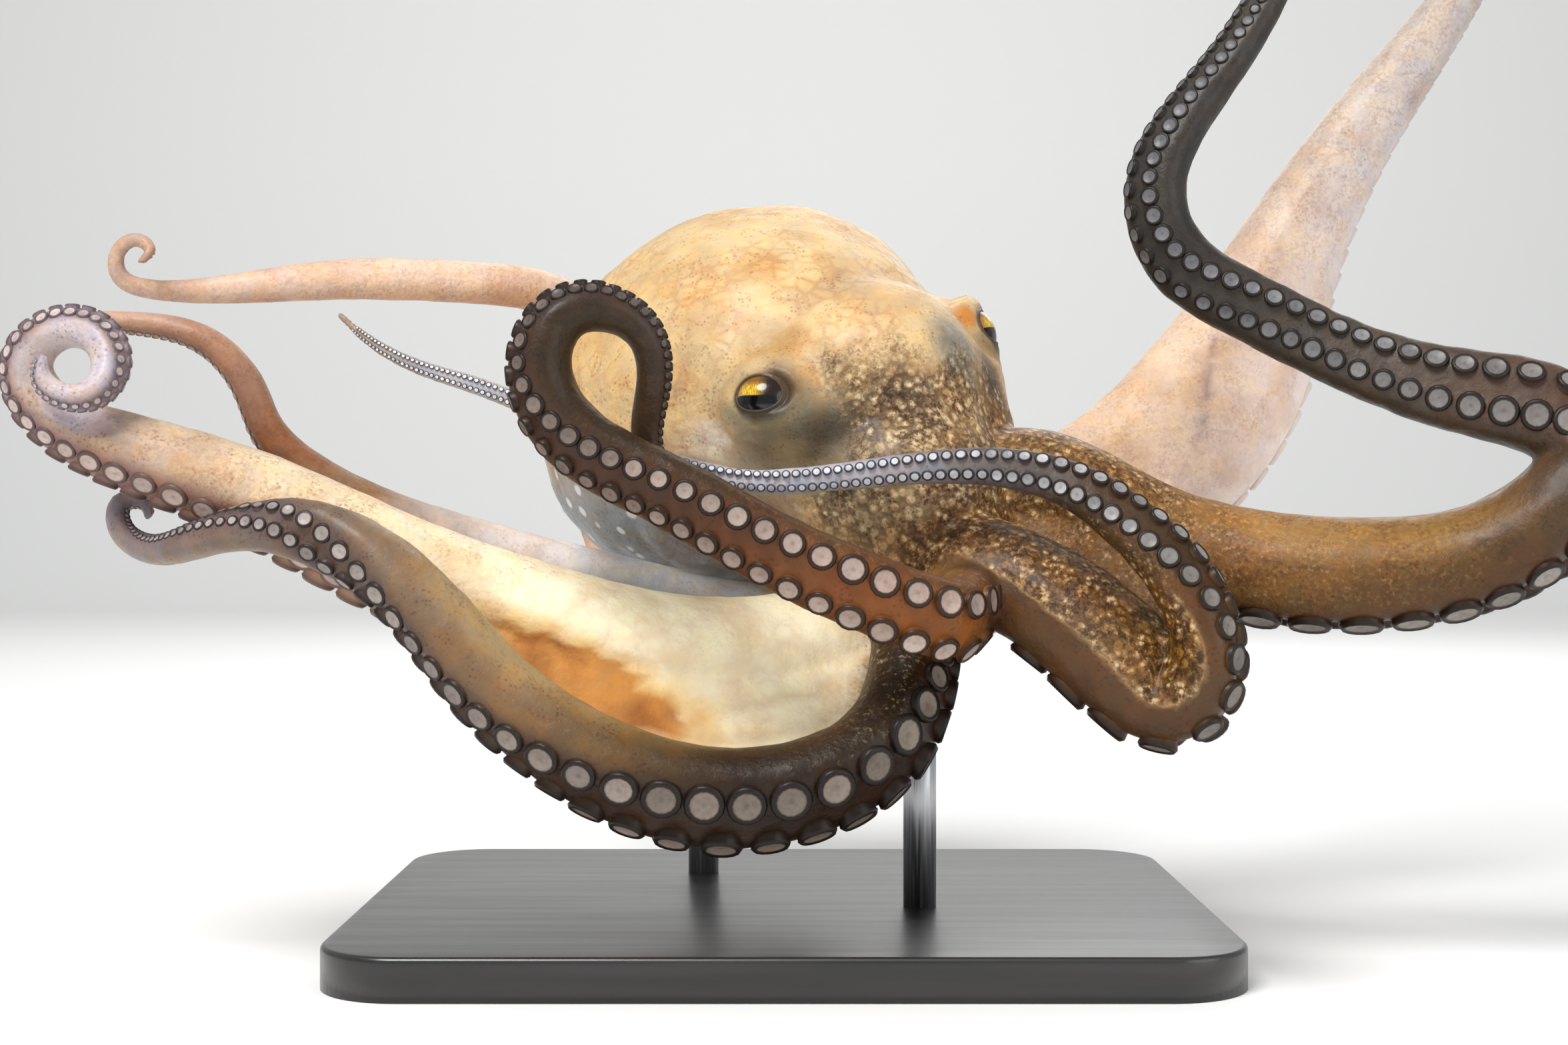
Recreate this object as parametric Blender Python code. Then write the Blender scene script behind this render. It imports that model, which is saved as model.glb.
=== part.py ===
"""Common octopus (Octopus vulgaris) swimming with its arms spread, as a life-size model on a plain stand.

World space is in metres with +Z up. The origin is the centre of the underside of the stand's base.
The animal looks toward -Y: its right eye and the arms R1 and R2 are on that side, its mantle points back.
Arms are numbered from the animal's back to its belly, r1 to r4 on its right and l1 to l4 on its left.
"""

import math

import bmesh
import bpy
import numpy as np
from mathutils import Vector
from mathutils.bvhtree import BVHTree

MM = 0.001
GAP = 0.35 * MM

# The middle line of each arm from the crown to the tip, all in millimetres: x, y, z and half-width.
# The last three numbers of a row point the way the suckers face there.
ARMS = {
    "r1": (
        (42, -44, 109, 14, 0.3, -0.9, -0.3),
        (49, -70, 104, 12, 0.6, -0.7, -0.4),
        (44, -92, 100, 11, 0.3, -0.9, -0.3),
        (29, -101, 104, 10.7, 0, -0.95, -0.25),
        (-1, -102, 117, 10.2, -0.15, -0.95, -0.2),
        (-30, -99, 133, 9.8, -0.25, -0.9, -0.3),
        (-52, -96, 145, 9.8, -0.5, -0.8, -0.3),
        (-63, -95, 159, 10, -0.8, -0.55, -0.1),
        (-63, -95, 172, 9.4, -0.9, -0.4, 0.3),
        (-56, -94, 180.5, 8.3, -0.4, -0.4, 0.85),
        (-45, -92, 181, 7.2, 0.2, -0.4, 0.9),
        (-36, -90, 174.5, 6, 0.8, -0.35, 0.4),
        (-34, -86, 162, 5.4, 0.95, -0.3, 0.1),
        (-36, -81, 146, 4.8, 0.9, -0.2, 0.3),
        (-28, -80, 134, 3.5, 0.7, -0.2, 0.6),
        (-12, -82, 124, 2.5, 0.5, -0.2, 0.8),
        (2, -84, 119, 0.5, 0.3, -0.2, 0.9),
    ),
    "r2": (
        (37, -50, 101, 14, 0.9, -0.3, 0),
        (36, -66, 85, 14, 0.9, -0.4, 0),
        (28, -82, 67.5, 14, 0.7, -0.6, -0.4),
        (10, -92, 56.5, 14.3, 0.2, -0.7, -0.7),
        (-18, -95, 52.8, 14.6, 0, -0.75, -0.65),
        (-50, -96, 62.5, 14.2, -0.35, -0.62, -0.7),
        (-77, -94, 82, 13, -0.68, -0.32, -0.62),
        (-98, -92, 106, 11.5, -0.74, -0.32, -0.5),
        (-120, -89, 121, 9.3, -0.5, -0.75, -0.1),
        (-141, -85, 124, 7, -0.1, -0.7, 0.7),
        (-159, -77, 120, 5.8, -0.3, -0.4, 0.9),
        (-173, -65, 118, 4.7, -0.1, -0.3, 0.95),
        (-184, -56, 124, 4, 0.9, -0.2, 0.2),
        (-184, -52, 131, 3.5, 0.5, -0.2, -0.8),
        (-178, -50, 130, 2.8, -0.7, -0.2, -0.7),
        (-179, -50, 126, 1.2, -0.6, -0.2, 0.7),
    ),
    "r3": (
        (30, -28, 98, 18.5, 0.2, -0.2, -0.95),
        (1, -42, 87, 20, 0, -0.3, -0.95),
        (-33, -52, 88, 19, -0.1, -0.3, -0.95),
        (-66, -58, 97, 17.8, -0.3, -0.3, -0.9),
        (-102, -60, 110, 17, -0.3, -0.35, -0.9),
        (-135, -61, 126, 15.5, -0.35, -0.35, -0.85),
        (-165, -62, 138.5, 13.6, -0.3, -0.4, -0.85),
        (-190, -63, 147.5, 11.3, -0.3, -0.45, -0.85),
        (-204, -64, 157.5, 9.4, -0.8, -0.4, -0.4),
        (-207.5, -65, 168.5, 8.1, -0.9, -0.4, 0.2),
        (-200, -66, 177.5, 7.1, 0, -0.4, 0.9),
        (-188, -68, 177.5, 6.6, 0.7, -0.4, 0.6),
        (-181, -73, 168.5, 6, 0.9, -0.4, -0.1),
        (-184, -78, 159.5, 5, 0.5, -0.35, -0.8),
        (-192, -80, 158.5, 4.1, -0.6, -0.35, -0.7),
        (-198, -80, 163.5, 3.3, -0.9, -0.35, 0.1),
        (-197.5, -80, 170, 1.5, 0, -0.3, 0.9),
    ),
    "r4": (
        (31, -6, 103, 11, 0, 0.2, -0.95),
        (1, -6, 96, 12, 0, 0.3, -0.95),
        (-35, -14, 101, 12, -0.1, 0.3, -0.95),
        (-73, -26, 112, 10.5, -0.3, 0.3, -0.9),
        (-110, -36, 124, 9.5, -0.3, 0.2, -0.9),
        (-134, -40, 137, 8, -0.5, 0, -0.85),
        (-146.5, -44, 151, 6, -0.9, -0.1, -0.3),
        (-152, -45, 164, 5.6, -0.9, -0.1, -0.4),
        (-164, -45, 176.3, 4.9, -0.6, -0.1, -0.8),
        (-181, -45, 180.8, 4, -0.2, -0.1, -0.95),
        (-199, -43, 181.5, 3.1, 0, -0.1, -0.95),
        (-211, -41, 180, 1.2, 0.1, -0.1, -0.95),
    ),
    "l4": (
        (38, 8, 109, 11, 0, 0.4, -0.9),
        (13, 42, 89, 12, -0.1, 0.5, -0.85),
        (-23, 88, 85, 11.5, -0.3, 0.7, -0.6),
        (-54, 114, 106, 10.5, -0.4, 0.9, -0.2),
        (-67, 122, 143, 9.8, -0.3, 0.95, 0),
        (-66, 116, 178, 9, -0.1, 1, 0),
        (-75, 94, 200.5, 8, 0.3, 0.9, -0.2),
        (-106, 70, 205.5, 7.4, 0.2, 0.9, -0.3),
        (-147, 52, 204.3, 6.8, 0.2, 0.9, -0.3),
        (-182, 42, 200, 4.7, 0.1, 0.95, -0.2),
        (-202, 36, 199.5, 3.3, 0, 1, -0.1),
        (-211, 33, 203, 3, 0, 1, 0),
        (-211.5, 31, 210.5, 2.6, 0, 1, 0),
        (-205, 29, 214.5, 2.4, 0, 1, 0),
        (-199.5, 26, 210.5, 2, 0, 1, 0),
        (-203, 24, 206.5, 1.1, 0, 1, 0),
    ),
    "l3": (
        (55, -10, 117, 17, 0.3, 0.2, -0.9),
        (88, 14, 128.5, 25, 0.6, 0.2, -0.75),
        (119, 28, 143.5, 31, 0.7, 0.25, -0.6),
        (142, 38, 168, 30, 0.85, 0.2, -0.45),
        (161, 44, 205, 22, 0.85, 0.2, -0.4),
        (179, 48, 238, 16, 0.85, 0.2, -0.4),
        (199, 50, 267, 12.5, 0.8, 0.25, -0.45),
        (220, 51, 296, 9, 0.85, 0.3, -0.4),
        (233, 51, 320, 5.5, 0.95, 0.3, -0.1),
        (236, 48, 343, 1, 1, 0.3, 0),
    ),
    "l2": (
        (47, -30, 128, 17, 0.1, -0.1, -1),
        (70, -31, 134.5, 19.7, 0, -0.1, -1),
        (100, -38, 121.5, 18.6, -0.1, -0.15, -1),
        (132, -47, 111.5, 18.8, 0, 0.05, -1),
        (163, -56, 109.5, 18.4, 0, 0.1, -1),
        (193, -63, 115, 17.4, 0.25, -0.1, -0.95),
        (212.5, -69, 129, 16.4, 0.7, -0.45, -0.5),
        (219.5, -68, 144, 14.4, 0.6, -0.8, 0.1),
        (209, -63, 155.5, 13.6, 0.2, -0.95, 0.2),
        (188, -56, 161.5, 12.2, 0.1, -1, 0.1),
        (162, -46, 170.8, 10.4, 0.1, -1, 0.1),
        (134, -38, 186, 10, -0.1, -1, 0),
        (113, -34, 201, 10, -0.6, -0.8, -0.2),
        (107, -32, 223, 9.5, -0.85, -0.6, 0),
        (117, -32, 244, 8.2, -0.75, -0.6, 0.35),
        (131, -32, 263, 7, -0.7, -0.65, 0.35),
        (143, -30, 284, 6, -0.6, -0.75, 0.3),
        (154, -28, 304, 4, -0.5, -0.85, 0.25),
        (167, -26, 319, 1, -0.4, -0.9, 0.3),
    ),
    "l1": (
        (42, -48, 115, 17, -0.1, 0.2, -1),
        (57, -63, 110.5, 17, -0.4, 0.3, -0.8),
        (77, -74, 98, 18.6, -0.5, 0.4, -0.75),
        (94, -84, 82, 18, -0.3, 0.2, -0.9),
        (104, -92, 77.5, 14.8, 0.3, -0.1, -0.95),
        (110, -98, 88, 12, 0.95, -0.3, 0),
        (106, -99, 105, 10.3, 0.8, -0.6, 0.3),
        (95, -95, 120, 8.6, 0.4, -0.85, 0.3),
        (74, -87, 135.5, 6.6, 0.2, -0.95, 0.2),
        (45, -80, 140, 5, 0, -1, 0.1),
        (13, -74, 137, 4, 0, -1, 0),
        (-16, -71, 137, 3.5, 0, -1, 0.1),
        (-50, -68, 148.5, 3, 0, -1, 0.1),
        (-83, -66, 162, 2.6, -0.1, -1, 0.1),
        (-101, -62, 168, 2.2, -0.1, -1, 0.1),
        (-114, -60, 175, 1.7, -0.1, -1, 0.1),
        (-123.5, -58, 183, 0.9, -0.1, -1, 0.1),
    ),
}
# How deep each arm is from side to side for its height in the plane of its bend: at the crown, at the tip.
FLATNESS = {"r1": (1.0, 1.0), "r2": (1.0, 1.0), "r3": (0.9, 1.0), "r4": (0.9, 1.0),
            "l4": (0.95, 1.0), "l3": (0.5, 0.85), "l2": (0.95, 1.0), "l1": (0.95, 1.0)}
# Where each arm is divided into nodes, as fractions of its length.
CUTS = {"r1": (0.36, 0.68), "r2": (0.36, 0.68), "r3": (0.36, 0.68), "r4": (0.45, 0.75),
        "l4": (0.3, 0.6), "l3": (0.4, 0.7), "l2": (0.3, 0.58, 0.8), "l1": (0.3, 0.6)}
LENGTH_NAMES = ("base", "mid", "outer", "tip")
ABORAL_HEIGHT = 0.95
ORAL_HEIGHT = 0.88
MOST_BEND = 0.86
SIDES = {"base": 10, "mid": 9, "outer": 8, "tip": 7}

# Trunk: centres and radii in millimetres.
MANTLE_AT = (-13, 30, 163)
MANTLE_RADII = (63, 82, 62.5)
MANTLE_TURN = math.radians(20)
MANTLE_LEAN = 0.12
HEAD_AT = (24, -23, 160)
HEAD_PARTS = (
    ((24, -23, 160), 37),
    ((0, -41, 156), 19),
    ((47.3, -5, 174.5), 18.8),
    ((47, -10, 165), 20),
    ((33, -38, 134), 31),
    ((4, 4, 150), 36),
    ((20, 2, 186), 23),
)
CROWN_AT = (42, -40, 112)
CROWN_PARTS = (
    ((42, -40, 114), 28),
    ((34, -18, 110), 27),
    ((49, -46, 108), 19),
)
EYE_RADIUS = 9.5
EYES = {"eye_right": (-4.5, -50.5, 158.4), "eye_left": (54, -11.5, 179.9)}
FUNNEL_FROM = (10, 6, 124)
FUNNEL_TO = (-8, 20, 84)
BEAK_FROM = (44, -26, 97)
BEAK_TO = (44.5, -26.5, 81)

# Webs: the two arms and the flank of each that the web leaves from, how far along each arm the web
# reaches in millimetres, and how far its margin dips.
WEBS = {
    "web_r2_r3": ("r2", -1, "r3", 1, 185, 160, 0.15),
    "web_r3_r4": ("r3", -1, "r4", 1, 130, 130, 0.3),
    "web_r4_l4": ("r4", -1, "l4", 1, 80, 80, 0.4),
    "web_l3_l4": ("l3", 1, "l4", -1, 85, 85, 0.4),
    "web_l2_l3": ("l2", 1, "l3", -1, 80, 85, 0.3),
    "web_l1_l2": ("l1", 1, "l2", -1, 86, 78, 0.1),
}
FLANK = 0.72
WEB_THICKNESS = 4.5

# Stand: plate size, corner radius, and the two rods as x, y and the height that each is cut down from.
PLATE = (250, 190, 12)
PLATE_CORNER = 24
ROD_RADIUS = 5
ROD_FOOT = 4
RODS = {"stand_rod_back": (-26, 45, 120), "stand_rod_front": (40, -18, 112)}


def clear_scene():
    for obj in list(bpy.data.objects):
        bpy.data.objects.remove(obj, do_unlink=True)


def new_collection(name, hidden):
    collection = bpy.data.collections.new(name)
    collection.hide_render = hidden
    bpy.context.scene.collection.children.link(collection)
    return collection


def material(name, colour, roughness, metallic=0.0):
    made = bpy.data.materials.new(name)
    made.use_nodes = True
    shader = made.node_tree.nodes["Principled BSDF"]
    shader.inputs["Base Color"].default_value = (*colour, 1.0)
    shader.inputs["Roughness"].default_value = roughness
    shader.inputs["Metallic"].default_value = metallic
    made.diffuse_color = (*colour, 1.0)
    return made


def add_object(name, bm, colour, roughness=0.45, metallic=0.0):
    """A new object from the bmesh, its faces turned outward, with its own material."""
    bmesh.ops.triangulate(bm, faces=bm.faces[:])
    bmesh.ops.recalc_face_normals(bm, faces=bm.faces[:])
    if bm.calc_volume(signed=True) < 0:
        bmesh.ops.reverse_faces(bm, faces=bm.faces[:])
    mesh = bpy.data.meshes.new(name)
    bm.to_mesh(mesh)
    bm.free()
    obj = bpy.data.objects.new(name, mesh)
    mesh.materials.append(material(name + "_finish", colour, roughness, metallic))
    OBJECT.objects.link(obj)
    return obj


def spline(rows, count):
    """Points at equal spacing on a natural cubic through the rows, and the length of the line."""
    rows = np.array(rows, float)
    steps = np.linalg.norm(np.diff(rows[:, :3], axis=0), axis=1) ** 0.5
    knots = np.r_[0.0, np.cumsum(steps)]
    last = len(rows) - 1
    left = np.eye(last + 1)
    right = np.zeros_like(rows)
    for i in range(1, last):
        left[i, i - 1:i + 2] = steps[i - 1], 2 * (steps[i - 1] + steps[i]), steps[i]
        right[i] = 6 * ((rows[i + 1] - rows[i]) / steps[i] - (rows[i] - rows[i - 1]) / steps[i - 1])
    bend = np.linalg.solve(left, right)
    fine = np.linspace(0, knots[-1], 1500)
    at = np.clip(np.searchsorted(knots, fine) - 1, 0, last - 1)
    span = steps[at][:, None]
    after = (knots[at + 1] - fine)[:, None]
    before = (fine - knots[at])[:, None]
    line = (bend[at] * after ** 3 + bend[at + 1] * before ** 3) / (6 * span)
    line += (rows[at] / span - bend[at] * span / 6) * after
    line += (rows[at + 1] / span - bend[at + 1] * span / 6) * before
    run = np.r_[0.0, np.cumsum(np.linalg.norm(np.diff(line[:, :3], axis=0), axis=1))]
    even = np.linspace(0, run[-1], count)
    return np.array([np.interp(even, run, line[:, k]) for k in range(rows.shape[1])]).T, run[-1]


class Arm:
    """One arm's middle line with its width, the way its suckers face, and how it bends."""

    def __init__(self, key):
        table, self.length = spline(ARMS[key], 600)
        self.key = key
        self.run = np.linspace(0, self.length, 600)
        self.points = table[:, :3]
        self.half = np.maximum(table[:, 3], 0.8)
        tangent = np.gradient(self.points, self.run, axis=0)
        self.tangent = tangent / np.linalg.norm(tangent, axis=1)[:, None]
        self.bend = np.gradient(self.tangent, self.run, axis=0)
        oral = table[:, 4:7]
        oral = oral - (oral * self.tangent).sum(axis=1)[:, None] * self.tangent
        self.oral = oral / np.linalg.norm(oral, axis=1)[:, None]
        self.side = np.cross(self.tangent, self.oral)

    def at(self, s, values):
        return np.array([np.interp(s, self.run, values[:, k]) for k in range(3)])

    def flank(self, s, way):
        """A point just inside one flank of the arm, where a web leaves it."""
        half = np.interp(s, self.run, self.half)
        near, far = FLATNESS[self.key]
        flat = near + (far - near) * min(1.0, s / self.length * 1.6)
        return self.at(s, self.points) + self.at(s, self.side) * way * FLANK * half * flat

    def ring(self, s, sides):
        """The outline of the arm at s millimetres from the crown."""
        half = np.interp(s, self.run, self.half)
        near, far = FLATNESS[self.key]
        flat = near + (far - near) * min(1.0, s / self.length * 1.6)
        middle = self.at(s, self.points)
        oral = self.at(s, self.oral)
        side = self.at(s, self.side)
        bend = self.at(s, self.bend)
        outline = []
        for k in range(sides):
            angle = math.tau * (k + 0.5) / sides
            up = math.sin(angle)
            height = ABORAL_HEIGHT if up > 0 else ORAL_HEIGHT
            offset = side * half * flat * math.cos(angle) - oral * half * height * up
            inward = float(bend @ offset)
            if inward > MOST_BEND:
                offset = offset * MOST_BEND / inward
            outline.append((middle + offset) * MM)
        return outline

    def stations(self, start, end):
        """Distances along the arm, closer together where it is thin or bends sharply."""
        marks = [start]
        while True:
            s = marks[-1]
            half = np.interp(s, self.run, self.half)
            turn = max(np.linalg.norm(self.at(s, self.bend)), 1e-4)
            step = min(max(min(1.9 * half, 0.6 / turn), 3.5), 15.0)
            if s + 1.4 * step >= end:
                break
            marks.append(s + step)
        marks.append(end)
        return marks


def arm_length(arm, name, start, end, sides, colour):
    """One length of an arm: a loft through outlines that shrink toward the tip."""
    bm = bmesh.new()
    rings = []
    for s in arm.stations(start, end):
        rings.append([bm.verts.new(p) for p in arm.ring(s, sides)])
    for low, high in zip(rings, rings[1:]):
        for k in range(sides):
            nxt = (k + 1) % sides
            bm.faces.new((low[k], low[nxt], high[nxt], high[k]))
    bm.faces.new(rings[0])
    bm.faces.new(rings[-1][::-1])
    return add_object(name, bm, colour)


def exit_distance(origin, way, centre, radius):
    """How far a ray from origin along way goes before it leaves the ball for good."""
    to = np.subtract(origin, centre)
    b = float(to @ way)
    c = float(to @ to) - radius * radius
    inside = b * b - c
    return max(-b + math.sqrt(inside), 0.0) if inside > 0 else 0.0


def blended_balls(name, centre, parts, segments, colour):
    """A ball pushed out along its own rays until it wraps a group of balls with soft joins."""
    bm = bmesh.new()
    bmesh.ops.create_uvsphere(bm, u_segments=segments, v_segments=segments * 2 // 3, radius=1.0)
    for vert in bm.verts:
        way = np.array(vert.co.normalized())
        total = 0.0
        for middle, radius in parts:
            total += exit_distance(centre, way, middle, radius) ** 14
        vert.co = Vector((np.array(centre) + way * total ** (1 / 14)) * MM)
    return add_object(name, bm, colour)


def mantle(colour):
    """The muscular sack behind the head: an egg turned to point back and to the left."""
    bm = bmesh.new()
    bmesh.ops.create_uvsphere(bm, u_segments=20, v_segments=12, radius=1.0)
    cos, sin = math.cos(MANTLE_TURN), math.sin(MANTLE_TURN)
    for vert in bm.verts:
        x, y, z = vert.co
        neck = 1.0 - 0.14 * max(0.0, -y) ** 2
        x *= MANTLE_RADII[0] * neck
        z *= MANTLE_RADII[2] * neck * (1.0 if z > 0 else 0.97)
        y *= MANTLE_RADII[1]
        turned = (x * cos - y * sin + MANTLE_LEAN * z, x * sin + y * cos, z)
        vert.co = Vector(MANTLE_AT) * MM + Vector(turned) * MM
    return add_object("mantle", bm, colour)


def turned_profile(name, start, end, profile, steps, colour, roughness=0.45):
    """A shape spun from (radius, height) points about the line from start to end."""
    bm = bmesh.new()
    line = [bm.verts.new((r * MM, 0, z * MM)) for r, z in profile]
    edges = [bm.edges.new(pair) for pair in zip(line, line[1:])]
    bmesh.ops.spin(bm, geom=line + edges, cent=(0, 0, 0), axis=(0, 0, 1), angle=math.tau, steps=steps)
    bmesh.ops.remove_doubles(bm, verts=bm.verts[:], dist=0.00001)
    way = Vector(end) - Vector(start)
    turn = way.to_track_quat("Z", "Y").to_matrix()
    for vert in bm.verts:
        vert.co = turn @ vert.co + Vector(start) * MM
    return add_object(name, bm, colour, roughness)


def web(name, arms, colour):
    """The skin between two neighbouring arms: a thin closed sheet with a margin that dips in the middle."""
    first, side_a, second, side_b, reach_a, reach_b, dip = WEBS[name]
    rows, columns = 5, 3
    a, b = arms[first], arms[second]
    grid = np.zeros((rows + 1, columns + 1, 3))
    for i in range(rows + 1):
        for j in range(columns + 1):
            across = j / columns
            along = i / rows * (1.0 - dip * math.sin(math.pi * across))
            from_a = a.flank(12 + (reach_a - 12) * along, side_a)
            from_b = b.flank(12 + (reach_b - 12) * along, side_b)
            grid[i, j] = from_a * (1 - across) + from_b * across
    down = np.gradient(grid, axis=0)
    over = np.gradient(grid, axis=1)
    normal = np.cross(down, over)
    normal /= np.maximum(np.linalg.norm(normal, axis=2), 1e-9)[:, :, None]
    bm = bmesh.new()
    layers = []
    for offset in (-WEB_THICKNESS / 2, WEB_THICKNESS / 2):
        layer = grid + normal * offset
        layers.append([[bm.verts.new(p * MM) for p in row] for row in layer])
    for i in range(rows):
        for j in range(columns):
            for layer in layers:
                square = (layer[i][j], layer[i + 1][j], layer[i + 1][j + 1], layer[i][j + 1])
                bm.faces.new(square)
    low, high = layers
    for i in range(rows):
        for j in (0, columns):
            bm.faces.new((low[i][j], low[i + 1][j], high[i + 1][j], high[i][j]))
    for j in range(columns):
        for i in (0, rows):
            bm.faces.new((low[i][j], low[i][j + 1], high[i][j + 1], high[i][j]))
    return add_object(name, bm, colour)


def stand(colour):
    """The plate, with its corners and upper edge rounded, and the rods that stand in it."""
    bm = bmesh.new()
    bmesh.ops.create_cube(bm, size=1.0)
    for vert in bm.verts:
        vert.co.x *= PLATE[0] * MM
        vert.co.y *= PLATE[1] * MM
        vert.co.z = (vert.co.z + 0.5) * PLATE[2] * MM
    upright = [e for e in bm.edges if abs(e.verts[0].co.z - e.verts[1].co.z) > 0.001]
    bmesh.ops.bevel(bm, geom=upright, offset=PLATE_CORNER * MM, segments=5, profile=0.5,
                    affect="EDGES", material=-1)
    top = [e for e in bm.edges if min(v.co.z for v in e.verts) > (PLATE[2] - 0.1) * MM]
    bmesh.ops.bevel(bm, geom=top, offset=1.5 * MM, segments=2, profile=0.5, affect="EDGES", material=-1)
    plate = add_object("stand_base", bm, colour, 0.4)
    rods = []
    for name, (x, y, top_z) in RODS.items():
        bm = bmesh.new()
        bmesh.ops.create_cone(bm, cap_ends=True, segments=14, radius1=ROD_RADIUS * MM,
                              radius2=ROD_RADIUS * MM, depth=(top_z - ROD_FOOT) * MM)
        for vert in bm.verts:
            vert.co += Vector((x, y, (top_z + ROD_FOOT) / 2)) * MM
        rods.append(add_object(name, bm, (0.45, 0.46, 0.48), 0.3, 1.0))
    return plate, rods


def inflated(obj):
    """A copy that stands GAP proud of the object all round, kept with the cutters."""
    bm = bmesh.new()
    bm.from_mesh(obj.data)
    bm.normal_update()
    moved = [v.co + v.normal * GAP for v in bm.verts]
    for vert, co in zip(bm.verts, moved):
        vert.co = co
    mesh = bpy.data.meshes.new(obj.name + "_cutter")
    bm.to_mesh(mesh)
    bm.free()
    cutter = bpy.data.objects.new(obj.name + "_cutter", mesh)
    cutter.display_type = "WIRE"
    CUTTERS.objects.link(cutter)
    cutter.hide_render = True
    return cutter


def tree_of(obj):
    bm = bmesh.new()
    bm.from_mesh(obj.data)
    tree = BVHTree.FromBMesh(bm)
    bm.free()
    return tree


def islands_of(bm):
    """The separate pieces of a mesh, as lists of faces."""
    left = set(bm.faces)
    found = []
    while left:
        stack = [left.pop()]
        piece = list(stack)
        while stack:
            for edge in stack.pop().edges:
                for face in edge.link_faces:
                    if face in left:
                        left.remove(face)
                        stack.append(face)
                        piece.append(face)
        found.append(piece)
    return found


def keep_one(obj, lowest=False):
    """Drops every separate scrap but the biggest, or but the one that starts lowest."""
    bm = bmesh.new()
    bm.from_mesh(obj.data)
    bmesh.ops.remove_doubles(bm, verts=bm.verts[:], dist=0.00001)
    pieces = islands_of(bm)
    if lowest:
        pieces.sort(key=lambda piece: min(v.co.z for f in piece for v in f.verts))
    else:
        pieces.sort(key=lambda piece: -sum(f.calc_area() for f in piece))
    scraps = [f for piece in pieces[1:] for f in piece]
    bmesh.ops.delete(bm, geom=scraps, context="FACES")
    loose = [v for v in bm.verts if not v.link_faces]
    bmesh.ops.delete(bm, geom=loose, context="VERTS")
    bm.to_mesh(obj.data)
    bm.free()


def trim(obj, others, lowest=False):
    """Cuts away whatever of the object lies in the others, with a gap left between.

    Each cutter is made from a whole shape, before that shape is trimmed itself.
    """
    cutter_of(obj)
    own = tree_of(obj)
    touched = False
    for other in others:
        cutter = cutter_of(other)
        if not own.overlap(tree_of(cutter)):
            continue
        touched = True
        boolean = obj.modifiers.new("clear_of_" + other.name, "BOOLEAN")
        boolean.operation = "DIFFERENCE"
        boolean.solver = "EXACT"
        boolean.object = cutter
    if not touched:
        return
    graph = bpy.context.evaluated_depsgraph_get()
    graph.update()
    cut = bpy.data.meshes.new_from_object(obj.evaluated_get(graph))
    obj.modifiers.clear()
    obj.data = cut
    keep_one(obj, lowest)


def cutter_of(obj):
    found = CUTTERS.objects.get(obj.name + "_cutter")
    return found or inflated(obj)


clear_scene()
OBJECT = new_collection("octopus", False)
CUTTERS = new_collection("octopus_cutters", True)

SKIN = (0.42, 0.26, 0.13)
BROWN = (0.26, 0.14, 0.07)
PALE = (0.62, 0.47, 0.33)
SALMON = (0.66, 0.42, 0.30)
ARM_COLOURS = {"r1": BROWN, "r2": BROWN, "r3": PALE, "r4": PALE,
               "l4": SALMON, "l3": PALE, "l2": SKIN, "l1": BROWN}

eyes = []
for eye_name, eye_at in EYES.items():
    shape = bmesh.new()
    bmesh.ops.create_uvsphere(shape, u_segments=12, v_segments=8, radius=EYE_RADIUS * MM)
    bmesh.ops.translate(shape, verts=shape.verts[:], vec=Vector(eye_at) * MM)
    eyes.append(add_object(eye_name, shape, (0.55, 0.36, 0.05), 0.1))
head = blended_balls("head", HEAD_AT, HEAD_PARTS, 20, SKIN)
crown = blended_balls("crown", CROWN_AT, CROWN_PARTS, 14, SKIN)
body = mantle(PALE)
beak = turned_profile("beak", BEAK_FROM, BEAK_TO,
                      ((0, 0), (4.5, 0), (5, 7), (4, 12), (2, 16), (0, 17)), 10, (0.03, 0.02, 0.015), 0.25)
funnel = turned_profile("funnel", FUNNEL_FROM, FUNNEL_TO,
                        ((0, 0), (11, 0), (10, 16), (8, 32), (7, 46), (5.2, 46.5),
                         (4.6, 40), (4, 30), (0, 28)), 12, PALE)

trunk = eyes + [head]
trim(head, eyes)
trim(crown, [beak, head])
trim(body, [head, crown])
trim(funnel, [head, crown, body])
done = eyes + [beak, head, crown, body, funnel]

arms = {}
for key in ARMS:
    arm = Arm(key)
    arms[key] = arm
    ends = [0.0] + [cut * arm.length for cut in CUTS[key]] + [arm.length]
    names = LENGTH_NAMES[:len(ends) - 2] + LENGTH_NAMES[-1:]
    for k, part_name in enumerate(names):
        stop = ends[k + 1] if part_name == "tip" else ends[k + 1] - GAP / MM
        sides = SIDES[part_name]
        length = arm_length(arm, f"arm_{key}_{part_name}", ends[k], stop, sides, ARM_COLOURS[key])
        trim(length, [other for other in done if not other.name.startswith("arm_" + key)])
        done.append(length)

for web_name in WEBS:
    sheet = web(web_name, arms, BROWN)
    trim(sheet, done)
    done.append(sheet)

plate, rods = stand((0.05, 0.05, 0.055))
for rod in rods:
    trim(rod, done, lowest=True)
trim(plate, rods)
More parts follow.
